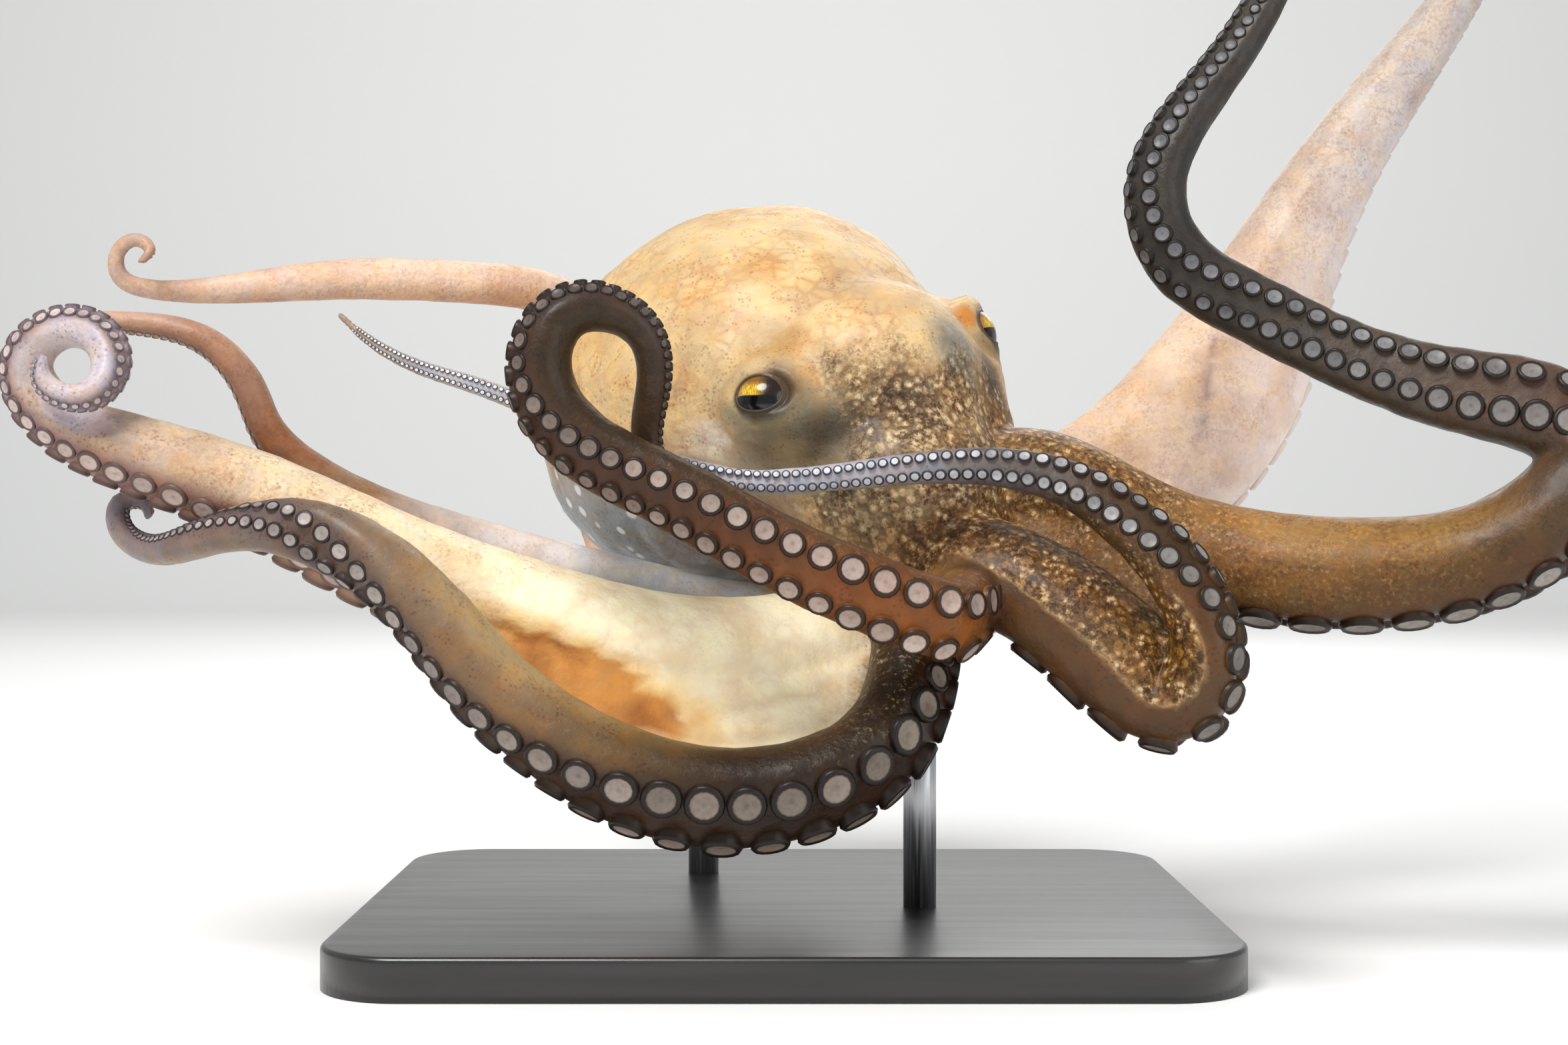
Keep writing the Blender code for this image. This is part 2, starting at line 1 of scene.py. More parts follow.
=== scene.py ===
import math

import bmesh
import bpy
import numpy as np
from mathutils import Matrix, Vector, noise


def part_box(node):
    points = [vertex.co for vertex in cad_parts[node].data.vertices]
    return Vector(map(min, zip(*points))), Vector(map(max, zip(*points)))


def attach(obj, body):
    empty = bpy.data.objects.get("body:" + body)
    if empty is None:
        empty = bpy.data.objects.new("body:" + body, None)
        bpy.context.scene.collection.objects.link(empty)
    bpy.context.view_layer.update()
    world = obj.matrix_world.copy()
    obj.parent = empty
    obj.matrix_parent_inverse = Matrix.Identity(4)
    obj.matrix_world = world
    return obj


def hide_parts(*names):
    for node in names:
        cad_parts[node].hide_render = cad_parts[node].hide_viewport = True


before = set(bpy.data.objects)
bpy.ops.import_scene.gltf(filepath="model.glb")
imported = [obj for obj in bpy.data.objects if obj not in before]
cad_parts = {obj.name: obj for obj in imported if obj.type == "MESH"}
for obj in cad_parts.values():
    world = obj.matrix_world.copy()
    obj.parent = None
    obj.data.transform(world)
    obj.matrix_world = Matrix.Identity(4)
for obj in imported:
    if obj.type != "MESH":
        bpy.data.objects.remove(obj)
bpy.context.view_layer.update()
# %% [markdown]
# # A swimming octopus, life size
# A common octopus is all soft muscle: a sack called the mantle, a head with two golden eyes, and
# eight arms that grow from a crown under the head, each with two rows of suckers. This lesson builds
# it over a solid frame that is already loaded: one continuous skin first, then the suckers, the eyes
# and the small stand that holds the model up. Everything is in metres, with the routes in millimetres.

MM = 0.001
chance = np.random.default_rng(8)
print("solid frame:", len(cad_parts), "nodes")


# %% [markdown]
# ## Colours and nodes
# Every colour below is an sRGB hex value, as a paint chart gives it. Shaders work in linear light,
# so one function turns the hex into linear numbers. Another adds a shader node with its settings and
# its links, which keeps each material readable from top to bottom.

# %% Helpers for materials
def linear(hex_colour):
    """Linear red, green, blue and alpha from an sRGB hex value."""
    channels = [int(hex_colour[i:i + 2], 16) / 255 for i in (1, 3, 5)]
    return tuple(c / 12.92 if c <= 0.04045 else ((c + 0.055) / 1.055) ** 2.4 for c in channels) + (1.0,)


def feed(node, inputs):
    """Gives inputs of a node, by name or number, each a value or the socket that feeds it."""
    for name, value in inputs.items():
        if isinstance(value, bpy.types.NodeSocket):
            node.id_data.links.new(value, node.inputs[name])
        else:
            node.inputs[name].default_value = value


def add(tree, kind, settings=None, *inputs, **named):
    """Adds a node with its own settings, feeds its inputs in order or by name, and gives back its
    first output."""
    made = tree.nodes.new("ShaderNode" + kind)
    for name, value in (settings or {}).items():
        setattr(made, name, value)
    feed(made, {**dict(enumerate(inputs)), **named})
    return made.outputs[0]


# Settings that many nodes share. A soft range maps one span of numbers to another with eased ends.
SOFT = {"interpolation_type": "SMOOTHSTEP"}
BLEND, DARKEN = {"blend_type": "MIX"}, {"blend_type": "MULTIPLY"}
TIMES, MINUS, SIZE_OF = {"operation": "MULTIPLY"}, {"operation": "SUBTRACT"}, {"operation": "ABSOLUTE"}


def new_material(name):
    """An empty material with its surface shader, returned as material, node tree and shader."""
    made = bpy.data.materials.new(name)
    made.use_nodes = True
    return made, made.node_tree, made.node_tree.nodes["Principled BSDF"]


# %% [markdown]
# ## Camera, floor and light
# The camera looks level along +Y from 0.66 m in front, so near arms look bigger than far ones. The
# floor is one pale sheet that curves up behind the model, so that no horizon shows. Three big soft
# lamps stand in for a studio: a key from the upper left, a weak fill and one from behind. A low one
# stands in for light thrown back up by pale sand, and the last one only lights the backdrop.

# %% Camera
def put(name, data):
    """A new object at the origin that holds a mesh, a camera or a lamp."""
    made = bpy.data.objects.new(name, data)
    bpy.context.scene.collection.objects.link(made)
    return made


camera = put("camera", bpy.data.cameras.new("camera"))
camera.location = (0.0, -0.66, 0.125)
camera.rotation_euler = (math.radians(90), 0.0, 0.0)
camera.data.lens = 50
camera.data.sensor_width = 36
camera.data.clip_start = 0.01
bpy.context.scene.camera = camera


# %% A floor that curves up into a backdrop
def as_mesh(bm, name):
    """What has been modelled so far, as a finished mesh."""
    made = bpy.data.meshes.new(name)
    bm.to_mesh(made)
    bm.free()
    return made


FLOOR_HALF, BEND_RADIUS, RISE = 2.4, 0.8, (0, 0.1, 2.0)
bm = bmesh.new()
bmesh.ops.create_grid(bm, x_segments=1, y_segments=1, size=FLOOR_HALF)
far_edge = [e for e in bm.edges if min(v.co.y for v in e.verts) > 0]
bend = bmesh.ops.spin(bm, geom=far_edge, cent=(0, FLOOR_HALF, BEND_RADIUS), axis=(1, 0, 0),
                      angle=math.radians(88), steps=16, use_duplicate=False)
top_edge = [g for g in bend["geom_last"] if isinstance(g, bmesh.types.BMEdge)]
raised = bmesh.ops.extrude_edge_only(bm, edges=top_edge)["geom"]
bmesh.ops.translate(bm, vec=RISE, verts=[g for g in raised if isinstance(g, bmesh.types.BMVert)])
floor = put("floor", as_mesh(bm, "floor"))
for face in floor.data.polygons:
    face.use_smooth = True
# Matt paper gives no glints, so only soft shadows show on it.
paper, tree, shader = new_material("matt_backdrop_paper")
feed(shader, {"Base Color": linear("#f0efec"), "Roughness": 0.9})
floor.data.materials.append(paper)


# %% Soft lamps and a dim room
def lamp(name, place, aim, size, watts):
    """A round soft lamp that looks from one place at another."""
    made = put(name, bpy.data.lights.new(name, "AREA"))
    made.data.shape = "DISK"
    made.data.size = size
    made.data.energy = watts
    made.location = place
    made.rotation_euler = (Vector(aim) - Vector(place)).to_track_quat("-Z", "Y").to_euler()
    return made


lamp("key_lamp", (-0.5, -0.85, 1.45), (0, 0, 0.14), 0.8, 26.5)
lamp("fill_lamp", (1.2, -0.9, 0.55), (0, 0, 0.14), 1.2, 7)
low_lamp = lamp("low_lamp", (-0.5, -1.0, 0.1), (0, 0, 0.1), 0.7, 3.6)
# Light off sand has no outline, so this lamp isn't mirrored in wet skin.
low_lamp.visible_glossy = False
lamp("back_lamp", (0.4, 1.3, 1.1), (0, 0, 0.16), 1.2, 6)
lamp("backdrop_lamp", (0.0, 0.9, 1.5), (0, 3.2, 0.5), 1.2, 14)
world = bpy.data.worlds.new("studio")
bpy.context.scene.world = world
world.use_nodes = True
feed(world.node_tree.nodes["Background"], {"Color": linear("#e6eaee"), "Strength": 0.58})
bpy.context.scene.view_settings.view_transform = "Standard"
print("camera, floor and lamps ready")


# %% [markdown]
# ## The routes of the arms
# Each arm follows a middle line of ten to twenty points. A row holds x, y, z and the arm's half-width
# in millimetres, then the direction that the suckers face there. Arms are numbered from the back of
# the animal to its belly, r1 to r4 on its right and l1 to l4 on its left.

# %% Middle lines
ARMS = {
    "r1": (
        (42, -44, 109, 14, 0.3, -0.9, -0.3), (49, -70, 104, 12, 0.6, -0.7, -0.4),
        (44, -92, 100, 11, 0.3, -0.9, -0.3), (29, -101, 104, 10.7, 0, -0.95, -0.25),
        (-1, -102, 117, 10.2, -0.15, -0.95, -0.2), (-30, -99, 133, 9.8, -0.25, -0.9, -0.3),
        (-52, -96, 145, 9.8, -0.5, -0.8, -0.3), (-63, -95, 159, 10, -0.8, -0.55, -0.1),
        (-63, -95, 172, 9.4, -0.9, -0.4, 0.3), (-56, -94, 180.5, 8.3, -0.4, -0.4, 0.85),
        (-45, -92, 181, 7.2, 0.2, -0.4, 0.9), (-36, -90, 174.5, 6, 0.8, -0.35, 0.4),
        (-34, -86, 162, 5.4, 0.95, -0.3, 0.1), (-36, -81, 146, 4.8, 0.9, -0.2, 0.3),
        (-28, -80, 134, 3.5, 0.7, -0.2, 0.6), (-12, -82, 124, 2.5, 0.5, -0.2, 0.8),
        (2, -84, 119, 0.5, 0.3, -0.2, 0.9),
    ),
    "r2": (
        (37, -50, 101, 14, 0.9, -0.3, 0), (36, -66, 85, 14, 0.9, -0.4, 0),
        (28, -82, 67.5, 14, 0.7, -0.6, -0.4), (10, -92, 56.5, 14.3, 0.2, -0.7, -0.7),
        (-18, -95, 52.8, 14.6, 0, -0.75, -0.65), (-50, -96, 62.5, 14.2, -0.35, -0.62, -0.7),
        (-77, -94, 82, 13, -0.68, -0.32, -0.62), (-98, -92, 106, 11.5, -0.74, -0.32, -0.5),
        (-120, -89, 121, 9.3, -0.5, -0.75, -0.1), (-141, -85, 124, 7, -0.1, -0.7, 0.7),
        (-159, -77, 120, 5.8, -0.3, -0.4, 0.9), (-173, -65, 118, 4.7, -0.1, -0.3, 0.95),
        (-184, -56, 124, 4, 0.9, -0.2, 0.2), (-184, -52, 131, 3.5, 0.5, -0.2, -0.8),
        (-178, -50, 130, 2.8, -0.7, -0.2, -0.7), (-179, -50, 126, 1.2, -0.6, -0.2, 0.7),
    ),
    "r3": (
        (30, -28, 98, 18.5, 0.2, -0.2, -0.95), (1, -42, 87, 20, 0, -0.3, -0.95),
        (-33, -52, 88, 19, -0.1, -0.3, -0.95), (-66, -58, 97, 17.8, -0.3, -0.3, -0.9),
        (-102, -60, 110, 17, -0.3, -0.35, -0.9), (-135, -61, 126, 15.5, -0.35, -0.35, -0.85),
        (-165, -62, 138.5, 13.6, -0.3, -0.4, -0.85), (-190, -63, 147.5, 11.3, -0.3, -0.45, -0.85),
        (-204, -64, 157.5, 9.4, -0.8, -0.4, -0.4), (-207.5, -65, 168.5, 8.1, -0.9, -0.4, 0.2),
        (-200, -66, 177.5, 7.1, 0, -0.4, 0.9), (-188, -68, 177.5, 6.6, 0.7, -0.4, 0.6),
        (-181, -73, 168.5, 6, 0.9, -0.4, -0.1), (-184, -78, 159.5, 5, 0.5, -0.35, -0.8),
        (-192, -80, 158.5, 4.1, -0.6, -0.35, -0.7), (-198, -80, 163.5, 3.3, -0.9, -0.35, 0.1),
        (-197.5, -80, 170, 1.5, 0, -0.3, 0.9),
    ),
    "r4": (
        (31, -6, 103, 11, 0, 0.2, -0.95), (1, -6, 96, 12, 0, 0.3, -0.95),
        (-35, -14, 101, 12, -0.1, 0.3, -0.95), (-73, -26, 112, 10.5, -0.3, 0.3, -0.9),
        (-110, -36, 124, 9.5, -0.3, 0.2, -0.9), (-134, -40, 137, 8, -0.5, 0, -0.85),
        (-146.5, -44, 151, 6, -0.9, -0.1, -0.3), (-152, -45, 164, 5.6, -0.9, -0.1, -0.4),
        (-164, -45, 176.3, 4.9, -0.6, -0.1, -0.8), (-181, -45, 180.8, 4, -0.2, -0.1, -0.95),
        (-199, -43, 181.5, 3.1, 0, -0.1, -0.95), (-211, -41, 180, 1.2, 0.1, -0.1, -0.95),
    ),
    "l4": (
        (38, 8, 109, 11, 0, 0.4, -0.9), (13, 42, 89, 12, -0.1, 0.5, -0.85),
        (-23, 88, 85, 11.5, -0.3, 0.7, -0.6), (-54, 114, 106, 10.5, -0.4, 0.9, -0.2),
        (-67, 122, 143, 9.8, -0.3, 0.95, 0), (-66, 116, 178, 9, -0.1, 1, 0),
        (-75, 94, 200.5, 8, 0.3, 0.9, -0.2), (-106, 70, 205.5, 7.4, 0.2, 0.9, -0.3),
        (-147, 52, 204.3, 6.8, 0.2, 0.9, -0.3), (-182, 42, 200, 4.7, 0.1, 0.95, -0.2),
        (-202, 36, 199.5, 3.3, 0, 1, -0.1), (-211, 33, 203, 3, 0, 1, 0),
        (-211.5, 31, 210.5, 2.6, 0, 1, 0), (-205, 29, 214.5, 2.4, 0, 1, 0),
        (-199.5, 26, 210.5, 2, 0, 1, 0), (-203, 24, 206.5, 1.1, 0, 1, 0),
    ),
    "l3": (
        (55, -10, 117, 17, 0.3, 0.2, -0.9), (88, 14, 128.5, 25, 0.6, 0.2, -0.75),
        (119, 28, 143.5, 31, 0.7, 0.25, -0.6), (142, 38, 168, 30, 0.85, 0.2, -0.45),
        (161, 44, 205, 22, 0.85, 0.2, -0.4), (179, 48, 238, 16, 0.85, 0.2, -0.4),
        (199, 50, 267, 12.5, 0.8, 0.25, -0.45), (220, 51, 296, 9, 0.85, 0.3, -0.4),
        (233, 51, 320, 5.5, 0.95, 0.3, -0.1), (236, 48, 343, 1, 1, 0.3, 0),
    ),
    "l2": (
        (47, -30, 128, 17, 0.1, -0.1, -1), (70, -31, 134.5, 19.7, 0, -0.1, -1),
        (100, -38, 121.5, 18.6, -0.1, -0.15, -1), (132, -47, 111.5, 18.8, 0, 0.05, -1),
        (163, -56, 109.5, 18.4, 0, 0.1, -1), (193, -63, 115, 17.4, 0.25, -0.1, -0.95),
        (212.5, -69, 129, 16.4, 0.7, -0.45, -0.5), (219.5, -68, 144, 14.4, 0.6, -0.8, 0.1),
        (209, -63, 155.5, 13.6, 0.2, -0.95, 0.2), (188, -56, 161.5, 12.2, 0.1, -1, 0.1),
        (162, -46, 170.8, 10.4, 0.1, -1, 0.1), (134, -38, 186, 10, -0.1, -1, 0),
        (113, -34, 201, 10, -0.6, -0.8, -0.2), (107, -32, 223, 9.5, -0.85, -0.6, 0),
        (117, -32, 244, 8.2, -0.75, -0.6, 0.35), (131, -32, 263, 7, -0.7, -0.65, 0.35),
        (143, -30, 284, 6, -0.6, -0.75, 0.3), (154, -28, 304, 4, -0.5, -0.85, 0.25),
        (167, -26, 319, 1, -0.4, -0.9, 0.3),
    ),
    "l1": (
        (42, -48, 115, 17, -0.1, 0.2, -1), (57, -63, 110.5, 17, -0.4, 0.3, -0.8),
        (77, -74, 98, 18.6, -0.5, 0.4, -0.75), (94, -84, 82, 18, -0.3, 0.2, -0.9),
        (104, -92, 77.5, 14.8, 0.3, -0.1, -0.95), (110, -98, 88, 12, 0.95, -0.3, 0),
        (106, -99, 105, 10.3, 0.8, -0.6, 0.3), (95, -95, 120, 8.6, 0.4, -0.85, 0.3),
        (74, -87, 135.5, 6.6, 0.2, -0.95, 0.2), (45, -80, 140, 5, 0, -1, 0.1),
        (13, -74, 137, 4, 0, -1, 0), (-16, -71, 137, 3.5, 0, -1, 0.1),
        (-50, -68, 148.5, 3, 0, -1, 0.1), (-83, -66, 162, 2.6, -0.1, -1, 0.1),
        (-101, -62, 168, 2.2, -0.1, -1, 0.1), (-114, -60, 175, 1.7, -0.1, -1, 0.1),
        (-123.5, -58, 183, 0.9, -0.1, -1, 0.1),
    ),
}
# Width from side to side over width from back to suckers, near the root and further out.
FLATNESS = {"r1": (1.0, 1.0), "r2": (1.0, 1.0), "r3": (0.9, 1.0), "r4": (0.9, 1.0),
            "l4": (0.95, 1.0), "l3": (0.5, 0.85), "l2": (0.95, 1.0), "l1": (0.95, 1.0)}
# Sucker width over half the arm's width, at the root and at the tip.
SUCKER_SIZE = {"r1": (0.8, 0.3), "r2": (0.78, 0.36), "r3": (0.54, 0.5), "r4": (0.5, 0.46),
               "l4": (0.5, 0.44), "l3": (0.42, 0.4), "l2": (0.64, 0.46), "l1": (0.66, 0.54)}


# %% [markdown]
# ## Reading a route
# A natural cubic spline runs through the points without kinks. At any distance along it we need the
# middle, the half-width, the way the suckers face and the sideways direction. From these comes the
# outline of the arm there: round on the back, flatter on the sucker side with a shallow groove.

# %% The spline
FINE_STEPS, STATIONS = 1500, 600


def read(at, stops, table):
    """Every column of a table, read at one place or many between its stops."""
    return np.stack([np.interp(at, stops, column) for column in np.transpose(table)], axis=-1)


def spline(rows):
    """Evenly spaced points on a natural cubic through the rows, and the length of the line."""
    rows = np.array(rows, float)
    steps = np.linalg.norm(np.diff(rows[:, :3], axis=0), axis=1) ** 0.5
    knots = np.r_[0.0, np.cumsum(steps)]
    last = len(rows) - 1
    left = np.eye(last + 1)
    right = np.zeros_like(rows)
    for i in range(1, last):
        left[i, i - 1:i + 2] = steps[i - 1], 2 * (steps[i - 1] + steps[i]), steps[i]
        right[i] = 6 * ((rows[i + 1] - rows[i]) / steps[i] - (rows[i] - rows[i - 1]) / steps[i - 1])
    bend = np.linalg.solve(left, right)
    fine = np.linspace(0, knots[-1], FINE_STEPS)
    at = np.clip(np.searchsorted(knots, fine) - 1, 0, last - 1)
    span = steps[at][:, None]
    after = (knots[at + 1] - fine)[:, None]
    before = (fine - knots[at])[:, None]
    line = (bend[at] * after ** 3 + bend[at + 1] * before ** 3) / (6 * span)
    line += (rows[at] / span - bend[at] * span / 6) * after
    line += (rows[at + 1] / span - bend[at + 1] * span / 6) * before
    run = np.r_[0.0, np.cumsum(np.linalg.norm(np.diff(line[:, :3], axis=0), axis=1))]
    even = np.linspace(0, run[-1], STATIONS)
    return read(even, run, line), run[-1]


# %% One arm, read at any distance along it
THINNEST = 1.1
# Parts of the outline over the half-width: side to side, the back and the bed of the suckers. The
# bed is squarer than a circle by this power, and its groove is this deep.
SIDES, BACK, BED, SQUARE, GROOVE = 0.98, 0.92, 0.88, 0.77, 0.1
# On the inside of a bend the skin stays this much short of the bend's centre.
TIGHTEST = 0.82


class Arm:
    """The middle line of an arm, with its width, its sucker side and its bend, in millimetres."""

    def __init__(self, key):
        table, self.length = spline(ARMS[key])
        self.key = key
        self.run = np.linspace(0, self.length, STATIONS)
        self.points = table[:, :3]
        self.half = np.maximum(table[:, 3], THINNEST)
        tangent = np.gradient(self.points, self.run, axis=0)
        self.tangent = tangent / np.linalg.norm(tangent, axis=1)[:, None]
        self.bend = np.gradient(self.tangent, self.run, axis=0)
        oral = table[:, 4:7]
        oral = oral - (oral * self.tangent).sum(axis=1)[:, None] * self.tangent
        self.oral = oral / np.linalg.norm(oral, axis=1)[:, None]
        self.side = np.cross(self.tangent, self.oral)
        near, far = FLATNESS[key]
        self.flat = near + (far - near) * np.minimum(1.0, self.run / self.length * 1.6)
        near, far = SUCKER_SIZE[key]
        self.cup = near + (far - near) * self.run / self.length

    def at(self, s, values):
        """One of the arm's rows of vectors, read at a distance along it."""
        return read(s, self.run, values)

    def sizes(self, s):
        """Half-width, half-width across, and the width of a sucker, which is small by the mouth."""
        half = np.interp(s, self.run, self.half)
        across = half * np.interp(s, self.run, self.flat)
        young = 0.55 + 0.45 * min(1.0, max(0.0, (s - 14) / 34))
        return half, across, np.interp(s, self.run, self.cup) * across * young

    def surface(self, s, angle):
        """The point of the skin at an angle round the arm: 0 is one side, 90 degrees the back."""
        half, across, sucker = self.sizes(s)
        c, v = math.cos(angle), math.sin(angle)
        if v >= 0:
            out = across * SIDES * c
            up = half * BACK * v
        else:
            out = across * SIDES * math.copysign(abs(c) ** SQUARE, c)
            bed = half * BED - 0.4 * sucker
            groove = GROOVE * math.exp(-(out / (0.3 * across)) ** 2)
            up = -bed * abs(v) ** SQUARE * (1 - groove)
        offset = self.at(s, self.side) * out - self.at(s, self.oral) * up
        inward = float(self.at(s, self.bend) @ offset)
        if inward > TIGHTEST:
            offset = offset * TIGHTEST / inward
        return self.at(s, self.points) + offset


arms = {key: Arm(key) for key in ARMS}
for key, arm in arms.items():
    print(f"arm {key}: {arm.length:.0f} mm long, {2 * arm.half.max():.0f} mm wide at most")


# %% [markdown]
# ## The body as a few closed shapes
# Soft tissue has no edges, so the skin isn't modelled face by face. Simple closed shapes are put
# where the muscle is, left overlapping, and melted into one skin afterwards. An arm starts as a
# circle that is extruded from station to station along its route, as a sculptor pulls a roll of clay.

# %% Pulling an arm out of a circle
RING, RING_GAP = 30, 2.2


def pull_arm(bm, arm):
    """Extrudes a capped circle along the arm, giving each new ring the arm's outline there."""
    begun = bmesh.ops.create_circle(bm, cap_ends=True, radius=MM, segments=RING)
    cap = begun["verts"][0].link_faces[0]
    tip = [arm.length - d for d in (2.4, 1.2, 0.0)]
    for number, s in enumerate([*np.arange(0, arm.length - 4.0, RING_GAP), *tip]):
        if number:
            grown = bmesh.ops.extrude_face_region(bm, geom=[cap])["geom"]
            cap = next(g for g in grown if isinstance(g, bmesh.types.BMFace))
        for k, vert in enumerate(cap.verts):
            vert.co = arm.surface(s, math.tau * k / RING) * MM


bm = bmesh.new()
for arm in arms.values():
    pull_arm(bm, arm)
bmesh.ops.recalc_face_normals(bm, faces=bm.faces[:])
arms_mesh = as_mesh(bm, "arms_rough")
print("eight arms pulled:", len(arms_mesh.polygons), "faces")


# %% [markdown]
# ## Mantle, head and crown
# The mantle is an egg that points back. The head, the two swellings that carry the eyes, the neck and
# the crown of the arms are balls of different size that overlap. This group is melted coarsely first
# and relaxed, so that the balls flow into each other as muscle does, before the arms are joined on.

# %% Balls and an egg
MANTLE_AT = Vector((-13, 30, 163))
MANTLE_RADII = (62.3, 81, 61.8)
MANTLE_TURN, MANTLE_LEAN = math.radians(20), 0.12
turn_cos, turn_sin = math.cos(MANTLE_TURN), math.sin(MANTLE_TURN)
BALLS = {
    "skull": ((24, -23, 160), 36.5), "right_orbit": ((0, -41, 156), 18.7),
    "left_orbit": ((47.3, -5, 174.5), 18.5), "left_flank": ((47, -10, 165), 19.6),
    "throat": ((33, -38, 134), 30.5), "neck": ((4, 4, 150), 37), "nape": ((20, 2, 186), 23.5),
    "shoulder": ((6, 8, 170), 43.5), "crown": ((42, -40, 114), 27.5),
    "crown_back": ((34, -18, 110), 26.5), "mouth_ring": ((49, -46, 108), 18.5),
    "right_cheek": ((12, -38, 146), 22), "left_cheek": ((48, -18, 150), 21),
}
bm = bmesh.new()
for vert in bmesh.ops.create_uvsphere(bm, u_segments=72, v_segments=48, radius=1.0)["verts"]:
    # The egg narrows toward the head, and is a little flatter below.
    x, y, z = vert.co
    neck = 1.0 - 0.14 * max(0.0, -y) ** 2
    x *= MANTLE_RADII[0] * neck
    z *= MANTLE_RADII[2] * neck * (1.0 if z > 0 else 0.97)
    y *= MANTLE_RADII[1]
    turned = x * turn_cos - y * turn_sin + MANTLE_LEAN * z, x * turn_sin + y * turn_cos, z
    vert.co = (MANTLE_AT + Vector(turned)) * MM
for place, radius in BALLS.values():
    ball = bmesh.ops.create_icosphere(bm, subdivisions=4, radius=radius * MM)["verts"]
    bmesh.ops.translate(bm, verts=ball, vec=Vector(place) * MM)
trunk_mesh = as_mesh(bm, "trunk_rough")


# %% Melting and relaxing
def shaped(mesh, *steps, soft=None):
    """The mesh as a row of modifiers leaves it, each given as its kind and settings. Soft holds a
    strength for each point, and is kept in tenths as the vertex group "soft"."""
    held = put("held", mesh)
    if soft is not None:
        group = held.vertex_groups.new(name="soft")
        for level in range(1, 11):
            chosen = np.flatnonzero(np.round(soft * 10) == level)
            group.add(chosen.tolist(), level / 10, "REPLACE")
    for kind, settings in steps:
        modifier = held.modifiers.new(kind.lower(), kind)
        for name, value in settings.items():
            setattr(modifier, name, value)
    graph = bpy.context.evaluated_depsgraph_get()
    made = bpy.data.meshes.new_from_object(held.evaluated_get(graph))
    bpy.data.objects.remove(held)
    return made


def melted(mesh, voxel_mm, rounds):
    """The mesh remeshed as one skin and smoothed."""
    return shaped(mesh, ("REMESH", {"mode": "VOXEL", "voxel_size": voxel_mm * MM}),
                  ("SMOOTH", {"factor": 0.5, "iterations": rounds}))


trunk_mesh = melted(trunk_mesh, 3.0, 14)
print("trunk melted:", len(trunk_mesh.polygons), "faces")

# %% [markdown]
# ## Webs and siphon
# A web of skin joins neighbouring arms near the crown and runs out in a hollow curve between them. It
# is a grid laid between two middle lines and thickened. The siphon, the tube that the octopus jets
# with, is a profile spun round its axis below the neck.

# %% Webs between neighbouring arms
# Each row: an arm and its flank, the next arm and its flank, how far the web reaches along each, and
# by how much its free edge dips between them.
WEBS = (
    ("r2", -1, "r3", 1, 185, 160, 0.15), ("r3", -1, "r4", 1, 130, 130, 0.3),
    ("r4", -1, "l4", 1, 80, 80, 0.4), ("l3", 1, "l4", -1, 85, 85, 0.4),
    ("l2", 1, "l3", -1, 80, 85, 0.3), ("l1", 1, "l2", -1, 86, 78, 0.1),
)
WEB_STARTS, WEB_THICKNESS = 8, 4.2


def flank(arm, s, way):
    """A point just inside one flank of an arm, where a web leaves it."""
    return arm.at(s, arm.points) + arm.at(s, arm.side) * way * 0.72 * arm.sizes(s)[1]


bm = bmesh.new()
for first, side_a, second, side_b, reach_a, reach_b, dip in WEBS:
    sheet = bmesh.ops.create_grid(bm, x_segments=16, y_segments=20, size=1.0)["verts"]
    for vert in sheet:
        across, out = (vert.co.x + 1) / 2, (vert.co.y + 1) / 2
        out *= 1.0 - dip * math.sin(math.pi * across)
        from_a = flank(arms[first], WEB_STARTS + (reach_a - WEB_STARTS) * out, side_a)
        from_b = flank(arms[second], WEB_STARTS + (reach_b - WEB_STARTS) * out, side_b)
        vert.co = (from_a * (1 - across) + from_b * across) * MM
    faces = list({f for v in sheet for f in v.link_faces})
    bmesh.ops.solidify(bm, geom=faces, thickness=WEB_THICKNESS * MM)
bmesh.ops.recalc_face_normals(bm, faces=bm.faces[:])
webs_mesh = as_mesh(bm, "webs_rough")


# %% Siphon
def spun(bm, line, segments, merge):
    """Turns a row of points in the XZ plane into a round shape."""
    edges = [bm.edges.new(pair) for pair in zip(line, line[1:])]
    bmesh.ops.spin(bm, geom=line + edges, cent=(0, 0, 0), axis=(0, 0, 1), angle=math.tau,
                   steps=segments, use_merge=True)
    bmesh.ops.remove_doubles(bm, verts=bm.verts[:], dist=merge)
    bmesh.ops.recalc_face_normals(bm, faces=bm.faces[:])


SIPHON_FROM, SIPHON_TO = Vector((10, 6, 124)), Vector((-8, 20, 84))
PROFILE = ((0, 0), (10.6, 0), (9.6, 16), (7.7, 32), (6.7, 44), (6.0, 45.6), (5.2, 45.2), (4.6, 40),
           (4, 30), (0, 28))
bm = bmesh.new()
spun(bm, [bm.verts.new((radius * MM, 0, out * MM)) for radius, out in PROFILE], 28, 0.01 * MM)
aim = (SIPHON_TO - SIPHON_FROM).to_track_quat("Z", "Y").to_matrix().to_4x4()
bmesh.ops.transform(bm, matrix=Matrix.Translation(SIPHON_FROM * MM) @ aim, verts=bm.verts[:])
siphon_mesh = as_mesh(bm, "siphon_rough")
print("webs and siphon made")

# %% [markdown]
# ## One skin
# All the rough shapes go into one mesh. A fine voxel remesh keeps only the outer surface, so where
# two shapes overlapped there is now one sheet of skin. The creases where arms meet the crown are
# then relaxed, much near the crown and hardly at all on the arms, whose shape is already right.

# %% Melt everything together
bm = bmesh.new()
for mesh in (arms_mesh, trunk_mesh, webs_mesh, siphon_mesh):
    bm.from_mesh(mesh)
skin_mesh = melted(as_mesh(bm, "joined_rough"), 1.05, 2)
print("skin melted:", len(skin_mesh.polygons), "faces")


